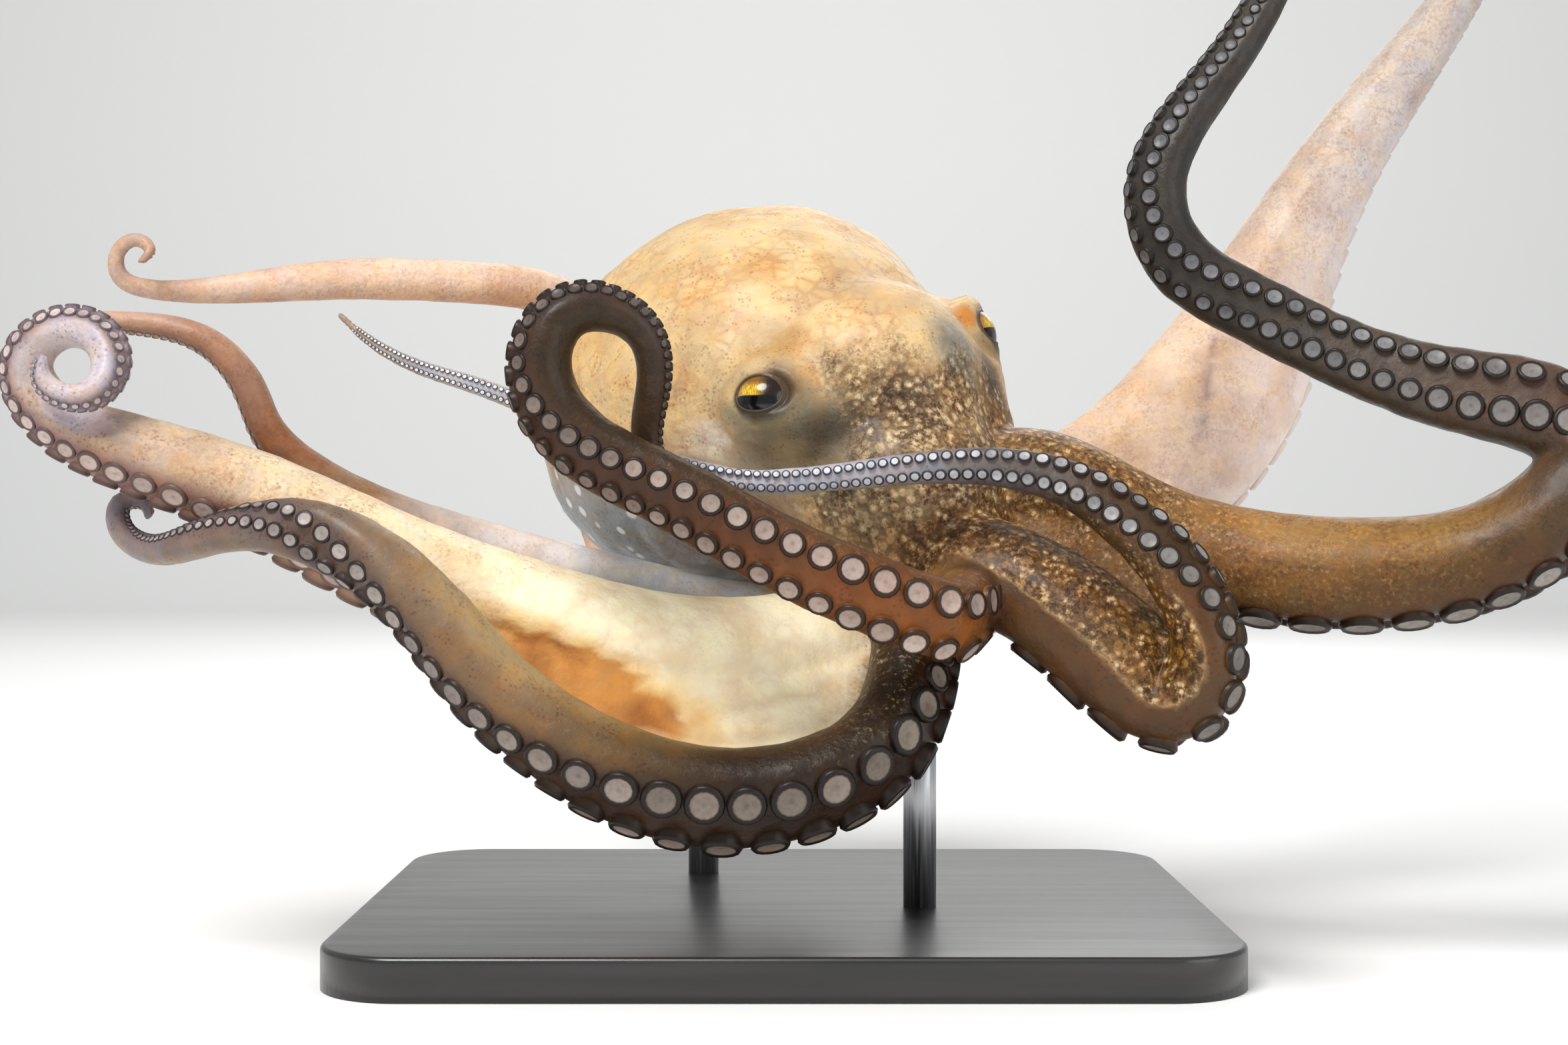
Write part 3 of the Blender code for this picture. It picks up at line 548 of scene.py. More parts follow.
# %% Thin the mesh out, and make it fine round the eyes
def box_centre(node):
    """The middle of a node of the frame, in millimetres."""
    low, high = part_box(node)
    return (Vector(low) + Vector(high)) / (2 * MM)


GAZE = {"eye_right": Vector((-0.42, -0.88, 0.22)).normalized(),
        "eye_left": Vector((0.9, -0.28, 0.34)).normalized()}
EYE_AT = {name: box_centre(name) for name in GAZE}
# The finer faces round the eyes come on top of these.
MOST_TRIANGLES = 176000
triangles = 2 * len(skin_mesh.polygons)
skin_mesh = shaped(skin_mesh, ("DECIMATE", {"ratio": min(1.0, MOST_TRIANGLES / triangles)}))
bm = bmesh.new()
bm.from_mesh(skin_mesh)
for reach in (17, 13):
    seen = [e for e in bm.edges
            if any((e.verts[0].co / MM - at).length < reach and (e.verts[0].co / MM - at) @ GAZE[name] > -2
                   for name, at in EYE_AT.items())]
    bmesh.ops.subdivide_edges(bm, edges=seen, cuts=1, use_grid_fill=True)
bmesh.ops.triangulate(bm, faces=[f for f in bm.faces if len(f.verts) > 4])
# Thinning can leave a scrap: two faces back to back on the same three points.
on_same_points = {}
for face in bm.faces:
    on_same_points.setdefault(frozenset(face.verts), []).append(face)
scraps = [face for faces in on_same_points.values() if len(faces) > 1 for face in faces]
bmesh.ops.delete(bm, geom=scraps, context="FACES")
bm.to_mesh(skin_mesh)
bm.free()
print("skin thinned:", len(skin_mesh.polygons), "faces,", len(scraps), "faces of scraps removed")

# %% [markdown]
# ## Where on the body is each point?
# Shape and colour both depend on the place: how far along which arm, whether on the back or between
# the suckers, how near the head. These numbers are found once for every point of the skin, by
# measuring to the middle line of each arm, and then shared by all that follows.

# %% Distances to the arms and to the trunk
def places(mesh):
    """The points of a mesh, in millimetres."""
    flat = np.empty(len(mesh.vertices) * 3, np.float32)
    mesh.vertices.foreach_get("co", flat)
    return flat.reshape(-1, 3).astype(float) / MM


def ease(value, start, end):
    """0 before start, 1 after end, smooth between. Start may be above end."""
    x = np.clip((np.asarray(value, float) - start) / (end - start), 0, 1)
    return x * x * (3 - 2 * x)


def gap_to(place):
    """How far every point of the skin is from a place."""
    return np.linalg.norm(points - np.array(place), axis=1)


def beside(arm):
    """For every point: distance along the arm, distance from its middle over the half-width
    there, and how far the point lies toward the sucker side, from -1 to 1."""
    line = arm.points[::2]
    nearest = np.empty(len(points), int)
    # A few thousand points at a time keep the table of distances small.
    for first in range(0, len(points), 8192):
        some = points[first:first + 8192]
        gaps = (line ** 2).sum(axis=1)[None, :] - 2 * some @ line.T
        nearest[first:first + 8192] = gaps.argmin(axis=1) * 2
    offset = points - arm.points[nearest]
    gap = np.linalg.norm(offset, axis=1)
    toward = (offset * arm.oral[nearest]).sum(axis=1) / np.maximum(gap, 0.001)
    return arm.run[nearest], gap / arm.half[nearest], toward


def trunk_gap():
    """About how far every point lies outside the mantle, head and crown."""
    local = points - np.array(MANTLE_AT)
    x = local[:, 0] * turn_cos + local[:, 1] * turn_sin - MANTLE_LEAN * local[:, 2] * turn_cos
    y = -local[:, 0] * turn_sin + local[:, 1] * turn_cos + MANTLE_LEAN * local[:, 2] * turn_sin
    scaled = np.stack([x, y, local[:, 2]], axis=1) / np.array(MANTLE_RADII)
    gap = (np.linalg.norm(scaled, axis=1) - 1) * 62
    for place, radius in BALLS.values():
        gap = np.minimum(gap, gap_to(place) - radius)
    return gap


points = places(skin_mesh)
near = {key: beside(arm) for key, arm in arms.items()}
nearest_arm = np.min([near[key][1] for key in arms], axis=0)
from_trunk = trunk_gap()

# %% Relax the junctions
in_crease = ease(nearest_arm, 1.02, 1.3) * ease(from_trunk, -2, 6)
soft = 0.12 + 0.88 * np.maximum(ease(gap_to(BALLS["crown"][0]), 78, 40), in_crease)
for at in EYE_AT.values():
    soft = np.maximum(soft, ease(gap_to(at), 26, 16))
# Half-width of the thinnest arm that a point lies on. Thin tips would shrink, so they stay.
thin = np.min([arm.half[np.searchsorted(arm.run, near[key][0]).clip(0, STATIONS - 1)]
               + 30 * (near[key][1] > 1.3) for key, arm in arms.items()], axis=0)
soft *= ease(thin, 2.0, 7.0)
skin_mesh = shaped(
    skin_mesh, ("SMOOTH", {"vertex_group": "soft", "factor": 0.5, "iterations": 14}), soft=soft)
points = places(skin_mesh)
print("junctions relaxed, deepest point inside the trunk:", round(float(from_trunk.min())), "mm")

# %% [markdown]
# ## Eyelids, folds and relief
# An octopus eye looks out of a slit between two thick lids that roll in to the eyeball, so no gap may
# show. Each point near an eye is moved along the way the eye looks: inside the opening it goes behind
# the eyeball, at the edge it stands just proud of it, and further out it blends into the bulge. Mantle
# and head also get the uneven, slightly lumpy surface of muscle under loose skin.

# %% Lids
EYE_RADIUS = 9.3
# The opening's half-width and half-height, and how far its middle lies aside of and above the eye's.
OPENING, OPENING_ASIDE, OPENING_UP = (7.1, 5.4), 0.4, 0.7
LID_THICKNESS = 0.6
# The eye sits this far out from the middle of its bulge, whose radius is given with it.
EYE_OUT, BULGE = 10.8, 19.8


def eye_frame(name):
    """Sideways, up and forward for one eye. The slit is level, as the animal keeps it."""
    forward = GAZE[name]
    aside = Vector((0, 0, 1)).cross(forward).normalized()
    return aside, forward.cross(aside).normalized(), forward


lid_reach = {}
for name, at in EYE_AT.items():
    axes = np.array([list(axis) for axis in eye_frame(name)])
    a, b, c = ((points - np.array(at)) @ axes.T).T
    a, b = a - OPENING_ASIDE, b - OPENING_UP
    # 1 on the edge of the opening, and from -1 at its foot to 1 at its top.
    e = np.sqrt((a / OPENING[0]) ** 2 + (b / OPENING[1]) ** 2)
    turn = b / np.maximum(np.sqrt(a ** 2 + b ** 2), 0.01)
    front = (c > 0) & (c < 14) & (e < 3.2)
    edge = np.clip(e, 0.0, 1.12) / np.maximum(e, 0.001)
    ball = EYE_RADIUS ** 2 - (a * edge + OPENING_ASIDE) ** 2 - (b * edge + OPENING_UP) ** 2
    ball = np.sqrt(np.maximum(ball, 0.0))
    lid = LID_THICKNESS + 0.12 * np.exp(-((e - 1.25) / 0.22) ** 2)
    lid = np.where(e < 1.0, LID_THICKNESS - 3.2 * ease(e, 1.0, 0.72), lid)
    dome = np.sqrt(np.maximum(BULGE ** 2 - a ** 2 - b ** 2, 0.0)) - EYE_OUT
    shift = ball + lid + (dome - ball - lid) * ease(e, 0.98, 1.75) - c
    shift *= np.where(shift < 0, ease(e, 2.3, 1.3), ease(e, 3.1, 1.8))
    # A pouch under the eye.
    shift += 0.4 * np.exp(-((e - 1.65) / 0.3) ** 2) * np.clip(-turn, 0, 1)
    points += np.where(front, shift, 0.0)[:, None] * axes[2]
    lid_reach[name] = (np.where(front, e, 9.0), np.where(front, turn, 0.0),
                       np.where(front, a / OPENING[0], 0.0))


# %% Lumps of muscle and small folds
def lumps(size_mm, seed):
    """Smooth noise for every point, about -1 to 1, with lumps of a size."""
    return np.array([noise.noise(Vector(p) / size_mm + Vector((seed, 0, 0))) for p in points])


def move_skin():
    """Puts the points back into the mesh."""
    skin_mesh.vertices.foreach_set("co", (points * MM).ravel())
    skin_mesh.update()


move_skin()
normals = np.empty(len(points) * 3, np.float32)
skin_mesh.vertices.foreach_get("normal", normals)
near_eye = np.max([ease(gap_to(at), 16, 11) for at in EYE_AT.values()], axis=0)
on_trunk = ease(from_trunk, 5, -1) * ease(nearest_arm, 1.1, 1.5) * (1 - near_eye)
relief = on_trunk * (0.9 * lumps(17, 3) + 0.55 * lumps(6.5, 5))
relief += 0.3 * (1 - on_trunk) * (1 - near_eye) * ease(thin, 3, 9) * lumps(5, 9)
# A patch of small folds above and behind the right eye.
local = points - np.array((-6, -27, 198))
folded = np.exp(-(local[:, 0] / 13) ** 2 - (local[:, 2] / 7) ** 2 - (local[:, 1] / 30) ** 2)
relief += 0.8 * folded * np.sin(local[:, 2] * 1.3 + 0.04 * local[:, 0] ** 2)
# Long shallow folds run along the web, side by side with R3.
fold_gap = near["r3"][1] + 0.2 * lumps(19, 31)
on_folds = ease(near["r2"][1], 1.05, 1.3) * ease(points[:, 0], -110, -60) * ease(points[:, 0], 26, 10)
web_folds = sum(np.exp(-((fold_gap - at) / 0.07) ** 2) for at in (1.3, 1.65, 2.2, 2.9)) * on_folds
relief -= 0.4 * web_folds
points += relief[:, None] * normals.reshape(-1, 3)
move_skin()
print("lids and relief shaped")

# %% [markdown]
# ## Colour by place
# Octopus skin holds thousands of tiny colour cells that open and close, so colour changes along each
# arm and from the back to the sucker side. The tables give a few tints for each arm: how far along,
# then back, flank and sucker side, and how coarse the grain is. Dabs paint the mantle and head: each
# has a place, a reach, a tint and a strength. Some tints and dabs are painted shade, darker where
# shadow falls on the animal.

# %% Tints of the arms, some with painted shade
ARM_TINTS_AND_SHADE = {
    # R1's dark tints from 0.42 to 0.65, round its loop, are partly painted shade.
    "r1": ((0.0, "#8a6a48", "#75502f", "#8a5220", 0.4), (0.25, "#745328", "#5c3a1a", "#7c4a1e", 0.4),
           (0.42, "#483010", "#34230e", "#452a18", 0.3), (0.65, "#382812", "#2c2012", "#362821", 0.25),
           (1.0, "#4c3a26", "#44342a", "#4c3f36", 0.2)),
    # R2's tints from 0.12 to 0.3 are darkened with painted shade, where it lies under the cream web.
    "r2": ((0.0, "#5a3c14", "#4a2f10", "#482a16", 1.0), (0.12, "#40290c", "#261908", "#2a180b", 0.5),
           (0.3, "#402c14", "#271b0d", "#281a10", 0.2), (0.4, "#84683e", "#564228", "#33241a", 0.15),
           (0.5, "#a0875f", "#765f44", "#42322a", 0.1), (0.75, "#8c7a64", "#685a50", "#564844", 0.1),
           (1.0, "#8c8486", "#7e767c", "#7a6e78", 0.1)),
    "r3": ((0.0, "#f6e6c6", "#f2debc", "#8f6244", 0.2), (0.3, "#fbeccc", "#f6e4c2", "#946a50", 0.2),
           (0.48, "#ecd8b6", "#e0c8a8", "#90665a", 0.3), (0.6, "#ccb69a", "#b8a088", "#866258", 0.3),
           (0.72, "#b0a090", "#a09082", "#806262", 0.25), (0.85, "#c4bcc2", "#b6aeb6", "#806e74", 0.2),
           (1.0, "#b6aeb6", "#a8a0a8", "#8a7e86", 0.2)),
    "r4": ((0.0, "#f2eeee", "#eae6ea", "#c4b0a8", 0.1), (0.42, "#e8e0de", "#dad0d0", "#b89a8c", 0.1),
           (0.58, "#86694f", "#745d4c", "#7a5e4e", 0.2), (0.7, "#85583a", "#7a4f36", "#745240", 0.2),
           (0.82, "#9c7a68", "#906e5c", "#84685c", 0.2), (1.0, "#c8aa9a", "#bc9e8e", "#a68c80", 0.1)),
    "l4": ((0.0, "#e2c8b0", "#cfa88c", "#e4d4c8", 0.3), (0.5, "#e0c4ae", "#d0a284", "#eadcd2", 0.25),
           (0.75, "#e0c2ae", "#cea68c", "#ece0d8", 0.25), (1.0, "#a88e80", "#a08678", "#9a847c", 0.2)),
    "l3": ((0.0, "#ccac90", "#d2b29c", "#d0b4a8", 0.25), (0.35, "#dec2aa", "#e4ccbe", "#ecdcd6", 0.2),
           (0.7, "#bcafa6", "#b8b0b0", "#cac2c2", 0.3), (1.0, "#a69e98", "#a29c9a", "#9a9494", 0.2)),
    # L2's dark tints from 0.4 on, round its bend and past it, are partly painted shade.
    "l2": ((0.0, "#a07c4c", "#8a6638", "#6e4e28", 1.0), (0.1, "#987038", "#825c28", "#6a4a24", 0.9),
           (0.2, "#987242", "#6e4e24", "#3a2612", 0.42), (0.32, "#80602e", "#523a1c", "#34220f", 0.35),
           (0.4, "#524030", "#443424", "#543a2c", 0.2),
           (0.55, "#484038", "#40382f", "#4a423c", 0.2), (0.7, "#2c2a28", "#292726", "#302e2c", 0.2),
           (1.0, "#3c3a38", "#3a3836", "#44403c", 0.2)),
    "l1": ((0.0, "#8a6434", "#7c562a", "#442a16", 1.0), (0.3, "#7e581e", "#724e1c", "#38240f", 1.0),
           (0.42, "#40301c", "#3a2c1e", "#40301f", 0.4), (0.5, "#565050", "#565054", "#5e5a5c", 0.2),
           (0.58, "#94949e", "#9494a0", "#989aa6", 0.1), (0.7, "#b0b2bc", "#b0b2be", "#b4b6c2", 0.1),
           (0.85, "#a8aab4", "#a8aab4", "#aeb0ba", 0.1), (1.0, "#8a7a6c", "#86786c", "#8c8078", 0.1)),
}
DABS = (
    ((-8, -30, 205), 55, "#d0b88c", 0.6), ((-50, -5, 185), 34, "#cdae7a", 0.7),
    ((-6, -27, 198), 11, "#b58142", 0.6), ((-22, -28, 190), 16, "#cfa56c", 0.5),
    ((20, -30, 185), 20, "#b59c76", 0.7), ((-30, -20, 165), 20, "#cbb084", 0.6),
    ((-2, -44, 172), 15, "#a88450", 0.75), ((-23, -44, 146), 12, "#efe8da", 0.7),
    ((-16, -46, 162), 13, "#b6a07c", 0.5), ((38, -30, 180), 16, "#a08c6e", 0.7),
    ((30, -46, 154), 24, "#4e3e2a", 0.95), ((44, -38, 162), 16, "#6e5f48", 0.8),
    ((3, -54, 147), 21, "#747260", 0.85), ((18, -46, 165), 17, "#867d62", 0.75),
    # Painted shade: the dark dab in the hollow below and right of the right eye, at (14, -54, 149), and
    # the one under the left eye, at (58, -28, 166).
    ((14, -54, 149), 17, "#241f15", 0.92), ((48, -42, 174), 15, "#7a786e", 0.9),
    ((58, -28, 166), 13, "#3f382e", 0.9), ((54, -24, 186), 6, "#c98436", 0.9),
    ((22, -56, 134), 20, "#7c7464", 0.85), ((44, -50, 134), 22, "#6a5230", 0.85),
    ((64, -34, 146), 16, "#94744a", 0.7),
)
UPPER, BELLY_IN_SHADE = "#ccb084", "#868b90"
CREAM, YELLOW, ORANGE, DEEP_ORANGE = "#fff2d0", "#e6bd78", "#bc7c34", "#94561c"


def colour_of(hexes):
    """Linear red, green and blue, a row for each hex value."""
    return np.array([linear(h)[:3] for h in hexes])


def paint(colours, hex_colour, strength):
    """Brings one colour into a table of colours, with a strength for each point."""
    colours += (colour_of([hex_colour]) - colours) * strength[:, None]


def blend_rows(key, s, toward):
    """Tint and grain for points at a distance along one arm, from the table."""
    rows = ARM_TINTS_AND_SHADE[key]
    t = s / arms[key].length
    stops = [row[0] for row in rows]
    sides = [read(t, stops, colour_of([row[side] for row in rows])) for side in (1, 2, 3)]
    to_flank, to_mouth = ease(toward, -0.75, 0.1), ease(toward, 0.25, 0.75)
    tint = sides[0] + (sides[1] - sides[0]) * to_flank[:, None]
    tint += (sides[2] - tint) * to_mouth[:, None]
    return tint, np.interp(t, stops, [row[4] for row in rows]) * (1 - 0.85 * to_mouth)


# %% Paint the skin
# Painted shade: the lower part of the mantle, toward its back, is grey.
belly = ease(points[:, 2], 158, 128) * ease(points[:, 0], 12, -14)
trunk_tint = np.tile(colour_of([UPPER]), (len(points), 1))
paint(trunk_tint, BELLY_IN_SHADE, belly)
for place, reach, hex_colour, strength in DABS:
    paint(trunk_tint, hex_colour, strength * ease(gap_to(place), reach, reach * 0.35))
# The grain is strongest on the face, and fades out with an uneven edge.
trunk_grain = 0.2 + 0.8 * ease(gap_to((38, -45, 146)) + 12 * lumps(9, 13), 52, 24)
trunk_grain *= (1 - belly) * (1 - 0.8 * ease(points[:, 2] + 7 * lumps(9, 17), 158, 182))
smooth_patch = ease(gap_to((8, -52, 147)), 19, 10)
trunk_grain *= 1 - 0.9 * smooth_patch

# Trunk and arms each have a say in a point's colour, and more of it the nearer they are.
weight = 40 * np.exp(-np.maximum(0, from_trunk) / 6) * (1 - 0.97 * ease(nearest_arm, 1.5, 1.08))
total = weight.copy()
tint = trunk_tint * weight[:, None]
grain = trunk_grain * weight
net = 0.9 * (1 - smooth_patch) * weight
spots = belly * weight
for key in arms:
    s, far, toward = near[key]
    weight = np.maximum(far - 0.8, 0.05) ** -3.0
    arm_tint, arm_grain = blend_rows(key, s, toward)
    tint += arm_tint * weight[:, None]
    grain += arm_grain * weight
    net += (0.35 if key in ("l2", "l3", "l4", "r3", "r4") else 0.15) * weight
    total += weight
tint /= total[:, None]
grain, net, spots = grain / total, net / total, spots / total


# %% The cream web with its orange patch
x, y, z = points.T
off_r2, off_r3 = near["r2"][1], near["r3"][1]
others = np.min([near[key][1] for key in ("r1", "r4", "l1")], axis=0)
cream = ease(off_r2, 1.02, 1.14) * ease(off_r3, 4.5, 3.5) * ease(others, 1.1, 1.5)
cream *= ease(x, -125, -60) * ease(x, 26, 15) * ease(y, -28, -40) * ease(z, 116, 106)
cream *= np.maximum(ease(near["r3"][2], 0.75, 0.4), ease(x, -75, -55))
paint(tint, CREAM, 0.9 * cream)
# Painted shade darkens the long folds of the cream web.
paint(tint, "#c0a072", 0.4 * cream * web_folds)
grain *= 1 - 0.7 * cream
# A long golden-orange patch on it, 75 by 18 mm and turned down by 24 degrees, fades out to yellow.
turn_down = math.radians(24)
run_x = (x + 57) * math.cos(turn_down) - (z - 84) * math.sin(turn_down)
run_z = (x + 57) * math.sin(turn_down) + (z - 84) * math.cos(turn_down)
uneven = lumps(7, 21)
off_patch = np.sqrt((run_x / np.where(run_x > 0, 37, 40)) ** 2 + (run_z / 9) ** 2) + 0.3 * uneven
on_web = ease(off_r2, 1.02, 1.1) * ease(y, -35, -45)
paint(tint, YELLOW, 0.75 * ease(off_patch, 1.45, 1.0) * on_web)
patch = ease(off_patch, 1.0, 0.85) * ease(run_x, -42, -8) * on_web
paint(tint, ORANGE, 0.9 * patch)
paint(tint, DEEP_ORANGE, 0.6 * patch * ease(uneven - 0.02 * run_z, 0.0, 0.35))
net *= 1 - patch
spots *= 1 - patch
pale = np.max([ease(near[key][1], 1.4, 1.1) for key in ("l3", "l4", "r4")], axis=0)
pins = (1 - 0.8 * np.maximum(cream, patch)) * (1 - 0.55 * pale)
# The root of R4 is grey with painted shade, like the belly that it lies against.
paint(tint, "#84888b", 0.92 * ease(near["r4"][1], 1.35, 1.1) * ease(x, -68, -48) * ease(off_r3, 1.1, 1.3))
print("cream web:", int((cream > 0.5).sum()), "points, orange patch:", int((patch > 0.5).sum()))


# %% The ridges and folds of L1, L2 and L3, with painted shade
def facing(key):
    """1 on the side of an arm that looks toward -Y, 0 on the far side."""
    offset = points - arms[key].at(near[key][0], arms[key].points)
    return ease(-offset[:, 1] / np.maximum(np.linalg.norm(offset, axis=1), 0.01), 0.1, 0.5)


# L1: granular above a pale ridge, smooth dark brown from there to the suckers, partly its own colour and
# partly painted shade on that flank.
s, far, toward = near["l1"]
on_l1 = ease(far, 1.25, 1.08) * facing("l1") * ease(s, 12, 24) * ease(s, 135, 115)
ridge_at = np.interp(s, (15, 60, 90, 115), (-0.4, -0.38, -0.2, 0.05))
below = ease(toward, ridge_at, ridge_at + 0.1) * on_l1
paint(tint, "#49331f", 0.95 * below)
grain *= 1 - below
paint(tint, "#b89c74", 0.6 * np.exp(-((toward - ridge_at) / 0.06) ** 2) * on_l1)
# L2: a dark brown line along it is painted shade in a crease.
s, far, toward = near["l2"]
crease = np.exp(-((toward + 0.28) / 0.035) ** 2) * facing("l2") * ease(far, 1.25, 1.1)
paint(tint, "#4c3018", 0.75 * crease * ease(s, 70, 100) * ease(s, 240, 190))
# L3: a pinkish-grey line across its root is painted shade in a fold.
fold = np.exp(-((x - 131 - (z - 166) * 0.19) / 1.3) ** 2) * ease(z, 142, 152) * ease(z, 194, 184)
paint(tint, "#9c8688", 0.7 * fold * ease(near["l3"][1], 1.6, 1.3) * ease(y, 30, 20))

# %% The rims of the eyes
# A grey-green pouch lies below. Painted shade darkens the skin round each eye, most on its upper side
# toward one side, and a dark rim, partly painted shade, is widest low on one side.
for reach, turn, across in lid_reach.values():
    paint(tint, "#74735f", 0.7 * ease(reach, 2.6, 1.3) * ease(turn, 0.1, -0.5))
    shade = ease(reach, 2.5, 1.2) * (0.15 + 0.85 * ease(turn, -0.6, 0.2) * ease(across, -0.2, 0.7))
    wide = ease(across - 0.6 * turn, -0.8, 0.6)
    rim = ease(reach, 1.25 + 0.65 * wide, 1.02 + 0.2 * wide)
    paint(tint, "#2a1d14", 0.92 * np.maximum(shade, rim))
    off_lids = 1 - 0.9 * ease(reach, 2.6, 1.6)
    grain *= off_lids
    net *= off_lids


# %% Keep the paint on the mesh
def store(mesh, name, values):
    """A colour or a number for every point of a mesh."""
    kind, field = "FLOAT", "value"
    if values.ndim == 2:
        kind, field, values = "FLOAT_COLOR", "color", np.c_[values, np.ones(len(values))]
    layer = mesh.attributes.new(name, kind, "POINT")
    layer.data.foreach_set(field, values.astype(np.float32).ravel())


for name, values in (("tint", tint), ("grain", grain), ("net", net), ("spots", spots), ("pins", pins)):
    store(skin_mesh, name, values)
print("skin painted")

# %% [markdown]
# ## The skin's material
# Live octopus skin is wet, a little see-through and never one colour. Six layers make it: broad
# mottling, a net of darker seams, a grain of dark and golden flecks of about a millimetre, pale bumps
# of 2 to 3 mm, pin-prick colour cells and the belly's white spots. The grain and the bumps hold painted
# shade in their hollows and painted highlights on their crests. All but the mottling are as strong
# as the numbers stored above say.

# %% Skin: mottling and net
skin_look, tree, shader = new_material("wet_octopus_skin")
place = add(tree, "TexCoord").node.outputs["Object"]
tint_in = add(tree, "Attribute", {"attribute_name": "tint"}).node.outputs["Color"]
grain_in, net_in, spots_in, pins_in = (add(tree, "Attribute", {"attribute_name": name}).node.outputs["Fac"]
                                       for name in ("grain", "net", "spots", "pins"))
# Clouds, named by the size of their lumps in millimetres.
CLOUDS = ((3, 2.0), (4.5, 2.0), (5, 3.0), (6, 2.0), (7.5, 2.0), (9, 3.0), (17, 3.0), (20, 2.0))
clouds = {size: add(tree, "TexNoise", None, Vector=place, Scale=1000 / size, Detail=detail)
          for size, detail in CLOUDS}

# Broad mottling: golden, pinkish and darker clouds a finger wide.
amount = add(tree, "MapRange", SOFT, clouds[17], 0.42, 0.62, 0.0, 0.3)
skin = add(tree, "MixRGB", DARKEN, amount, tint_in, linear("#c8a07e"))
amount = add(tree, "MapRange", SOFT, clouds[7.5], 0.4, 0.62, 0.0, 0.4)
skin = add(tree, "MixRGB", {"blend_type": "SOFT_LIGHT"}, amount, skin, linear("#e2c79c"))
amount = add(tree, "MapRange", SOFT, clouds[9], 0.52, 0.7, 0.0, 0.1)
skin = add(tree, "MixRGB", {"blend_type": "OVERLAY"}, amount, skin, linear("#f2dcd4"))
# The net: soft seams between patches of skin 5 mm across are pinkish brown.
to_edge = add(tree, "TexVoronoi", {"feature": "DISTANCE_TO_EDGE"}, Vector=place, Scale=1000 / 5.0)
seam = add(tree, "MapRange", SOFT, to_edge, 0.22, 0.02)
here = add(tree, "Math", TIMES, net_in, add(tree, "MapRange", SOFT, clouds[20], 0.4, 0.62, 0.0, 0.3))
skin = add(tree, "MixRGB", DARKEN, add(tree, "Math", TIMES, seam, here), skin, linear("#c88a66"))

# %% Skin: grain and bumps
# The grain: flecks of about a millimetre, dark in the hollows, golden and nearly white on the bumps. They
# are partly the skin's own colour, partly painted shade in the hollows and painted glints on the bumps.
fleck = add(tree, "TexNoise", None, Vector=place, Scale=1000 / 1.3, Detail=3.0, Roughness=0.66)
clump = add(tree, "MapRange", SOFT, clouds[6], 0.32, 0.62, 0.35, 1.0)
dark = add(tree, "Math", TIMES, add(tree, "MapRange", SOFT, fleck, 0.53, 0.44, 0.0, 0.75), clump)
skin = add(tree, "MixRGB", DARKEN, add(tree, "Math", TIMES, dark, grain_in), skin, linear("#503a24"))
clump = add(tree, "MapRange", SOFT, clouds[4.5], 0.38, 0.58)
bright = add(tree, "Math", TIMES, add(tree, "MapRange", SOFT, fleck, 0.55, 0.66, 0.0, 0.6), clump)
here = add(tree, "MapRange", SOFT, grain_in, 0.2, 0.9)
skin = add(tree, "MixRGB", BLEND, add(tree, "Math", TIMES, bright, here), skin, linear("#e6cb98"))
# Where the grain is strong, the skin stands up in pale bumps of 2 to 3 mm with dark hollows between:
# painted highlights on the crests and painted shade in the hollows.
bumps = add(tree, "TexVoronoi", {"feature": "SMOOTH_F1"}, Vector=place, Scale=1000 / 2.7, Smoothness=0.25)
strong = add(tree, "MapRange", SOFT, grain_in, 0.45, 0.9)
hollow = add(tree, "Math", TIMES, add(tree, "MapRange", SOFT, bumps, 0.34, 0.56, 0.0, 0.6), strong)
skin = add(tree, "MixRGB", DARKEN, hollow, skin, linear("#705638"))
crest = add(tree, "Math", TIMES, add(tree, "MapRange", SOFT, bumps, 0.34, 0.12, 0.0, 0.6), clump)
skin = add(tree, "MixRGB", BLEND, add(tree, "Math", TIMES, crest, strong), skin, linear("#dcc6a0"))

# %% Skin: colour cells, white spots and relief
# Pin-prick colour cells, orange-brown, under 1 mm.
cell = add(tree, "TexVoronoi", None, Vector=place, Scale=1000 / 1.3)
here = add(tree, "Math", TIMES, pins_in, add(tree, "MapRange", SOFT, clouds[6], 0.45, 0.62, 0.06, 0.42))
pin = add(tree, "Math", TIMES, add(tree, "MapRange", SOFT, cell, 0.4, 0.22), here)
skin = add(tree, "MixRGB", DARKEN, pin, skin, linear("#a8623a"))
# White spots on the belly of the mantle, 3 to 4 mm.
cell = add(tree, "TexVoronoi", None, Vector=place, Scale=1000 / 9.0)
spot = add(tree, "Math", TIMES, add(tree, "MapRange", SOFT, cell, 0.26, 0.14, 0.0, 0.8), spots_in)
skin = add(tree, "MixRGB", BLEND, spot, skin, linear("#eeeceb"))
height = add(tree, "Math", TIMES, fleck, add(tree, "MapRange", None, grain_in, 0.0, 1.0, 0.25, 1.05))
height = add(tree, "Math", MINUS, height, add(tree, "Math", TIMES, bumps, strong))
fine = add(tree, "Bump", None, Strength=0.6, Distance=0.001, Height=height)
feed(shader, {
    "Base Color": skin, "Roughness": add(tree, "MapRange", SOFT, clouds[3], 0.3, 0.7, 0.4, 0.56),
    "Specular IOR Level": 0.22, "Coat Weight": 0.14, "Coat Roughness": 0.24,
    "Subsurface Weight": 0.1, "Subsurface Radius": (0.004, 0.002, 0.0012), "Subsurface Scale": 1.0,
    "Normal": add(tree, "Bump", None, Strength=0.35, Distance=0.002, Height=clouds[5], Normal=fine)})
print("skin material:", len(tree.nodes), "nodes")

# %% Put the skin in place
FLESH = [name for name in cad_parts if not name.startswith(("stand", "eye", "beak"))]


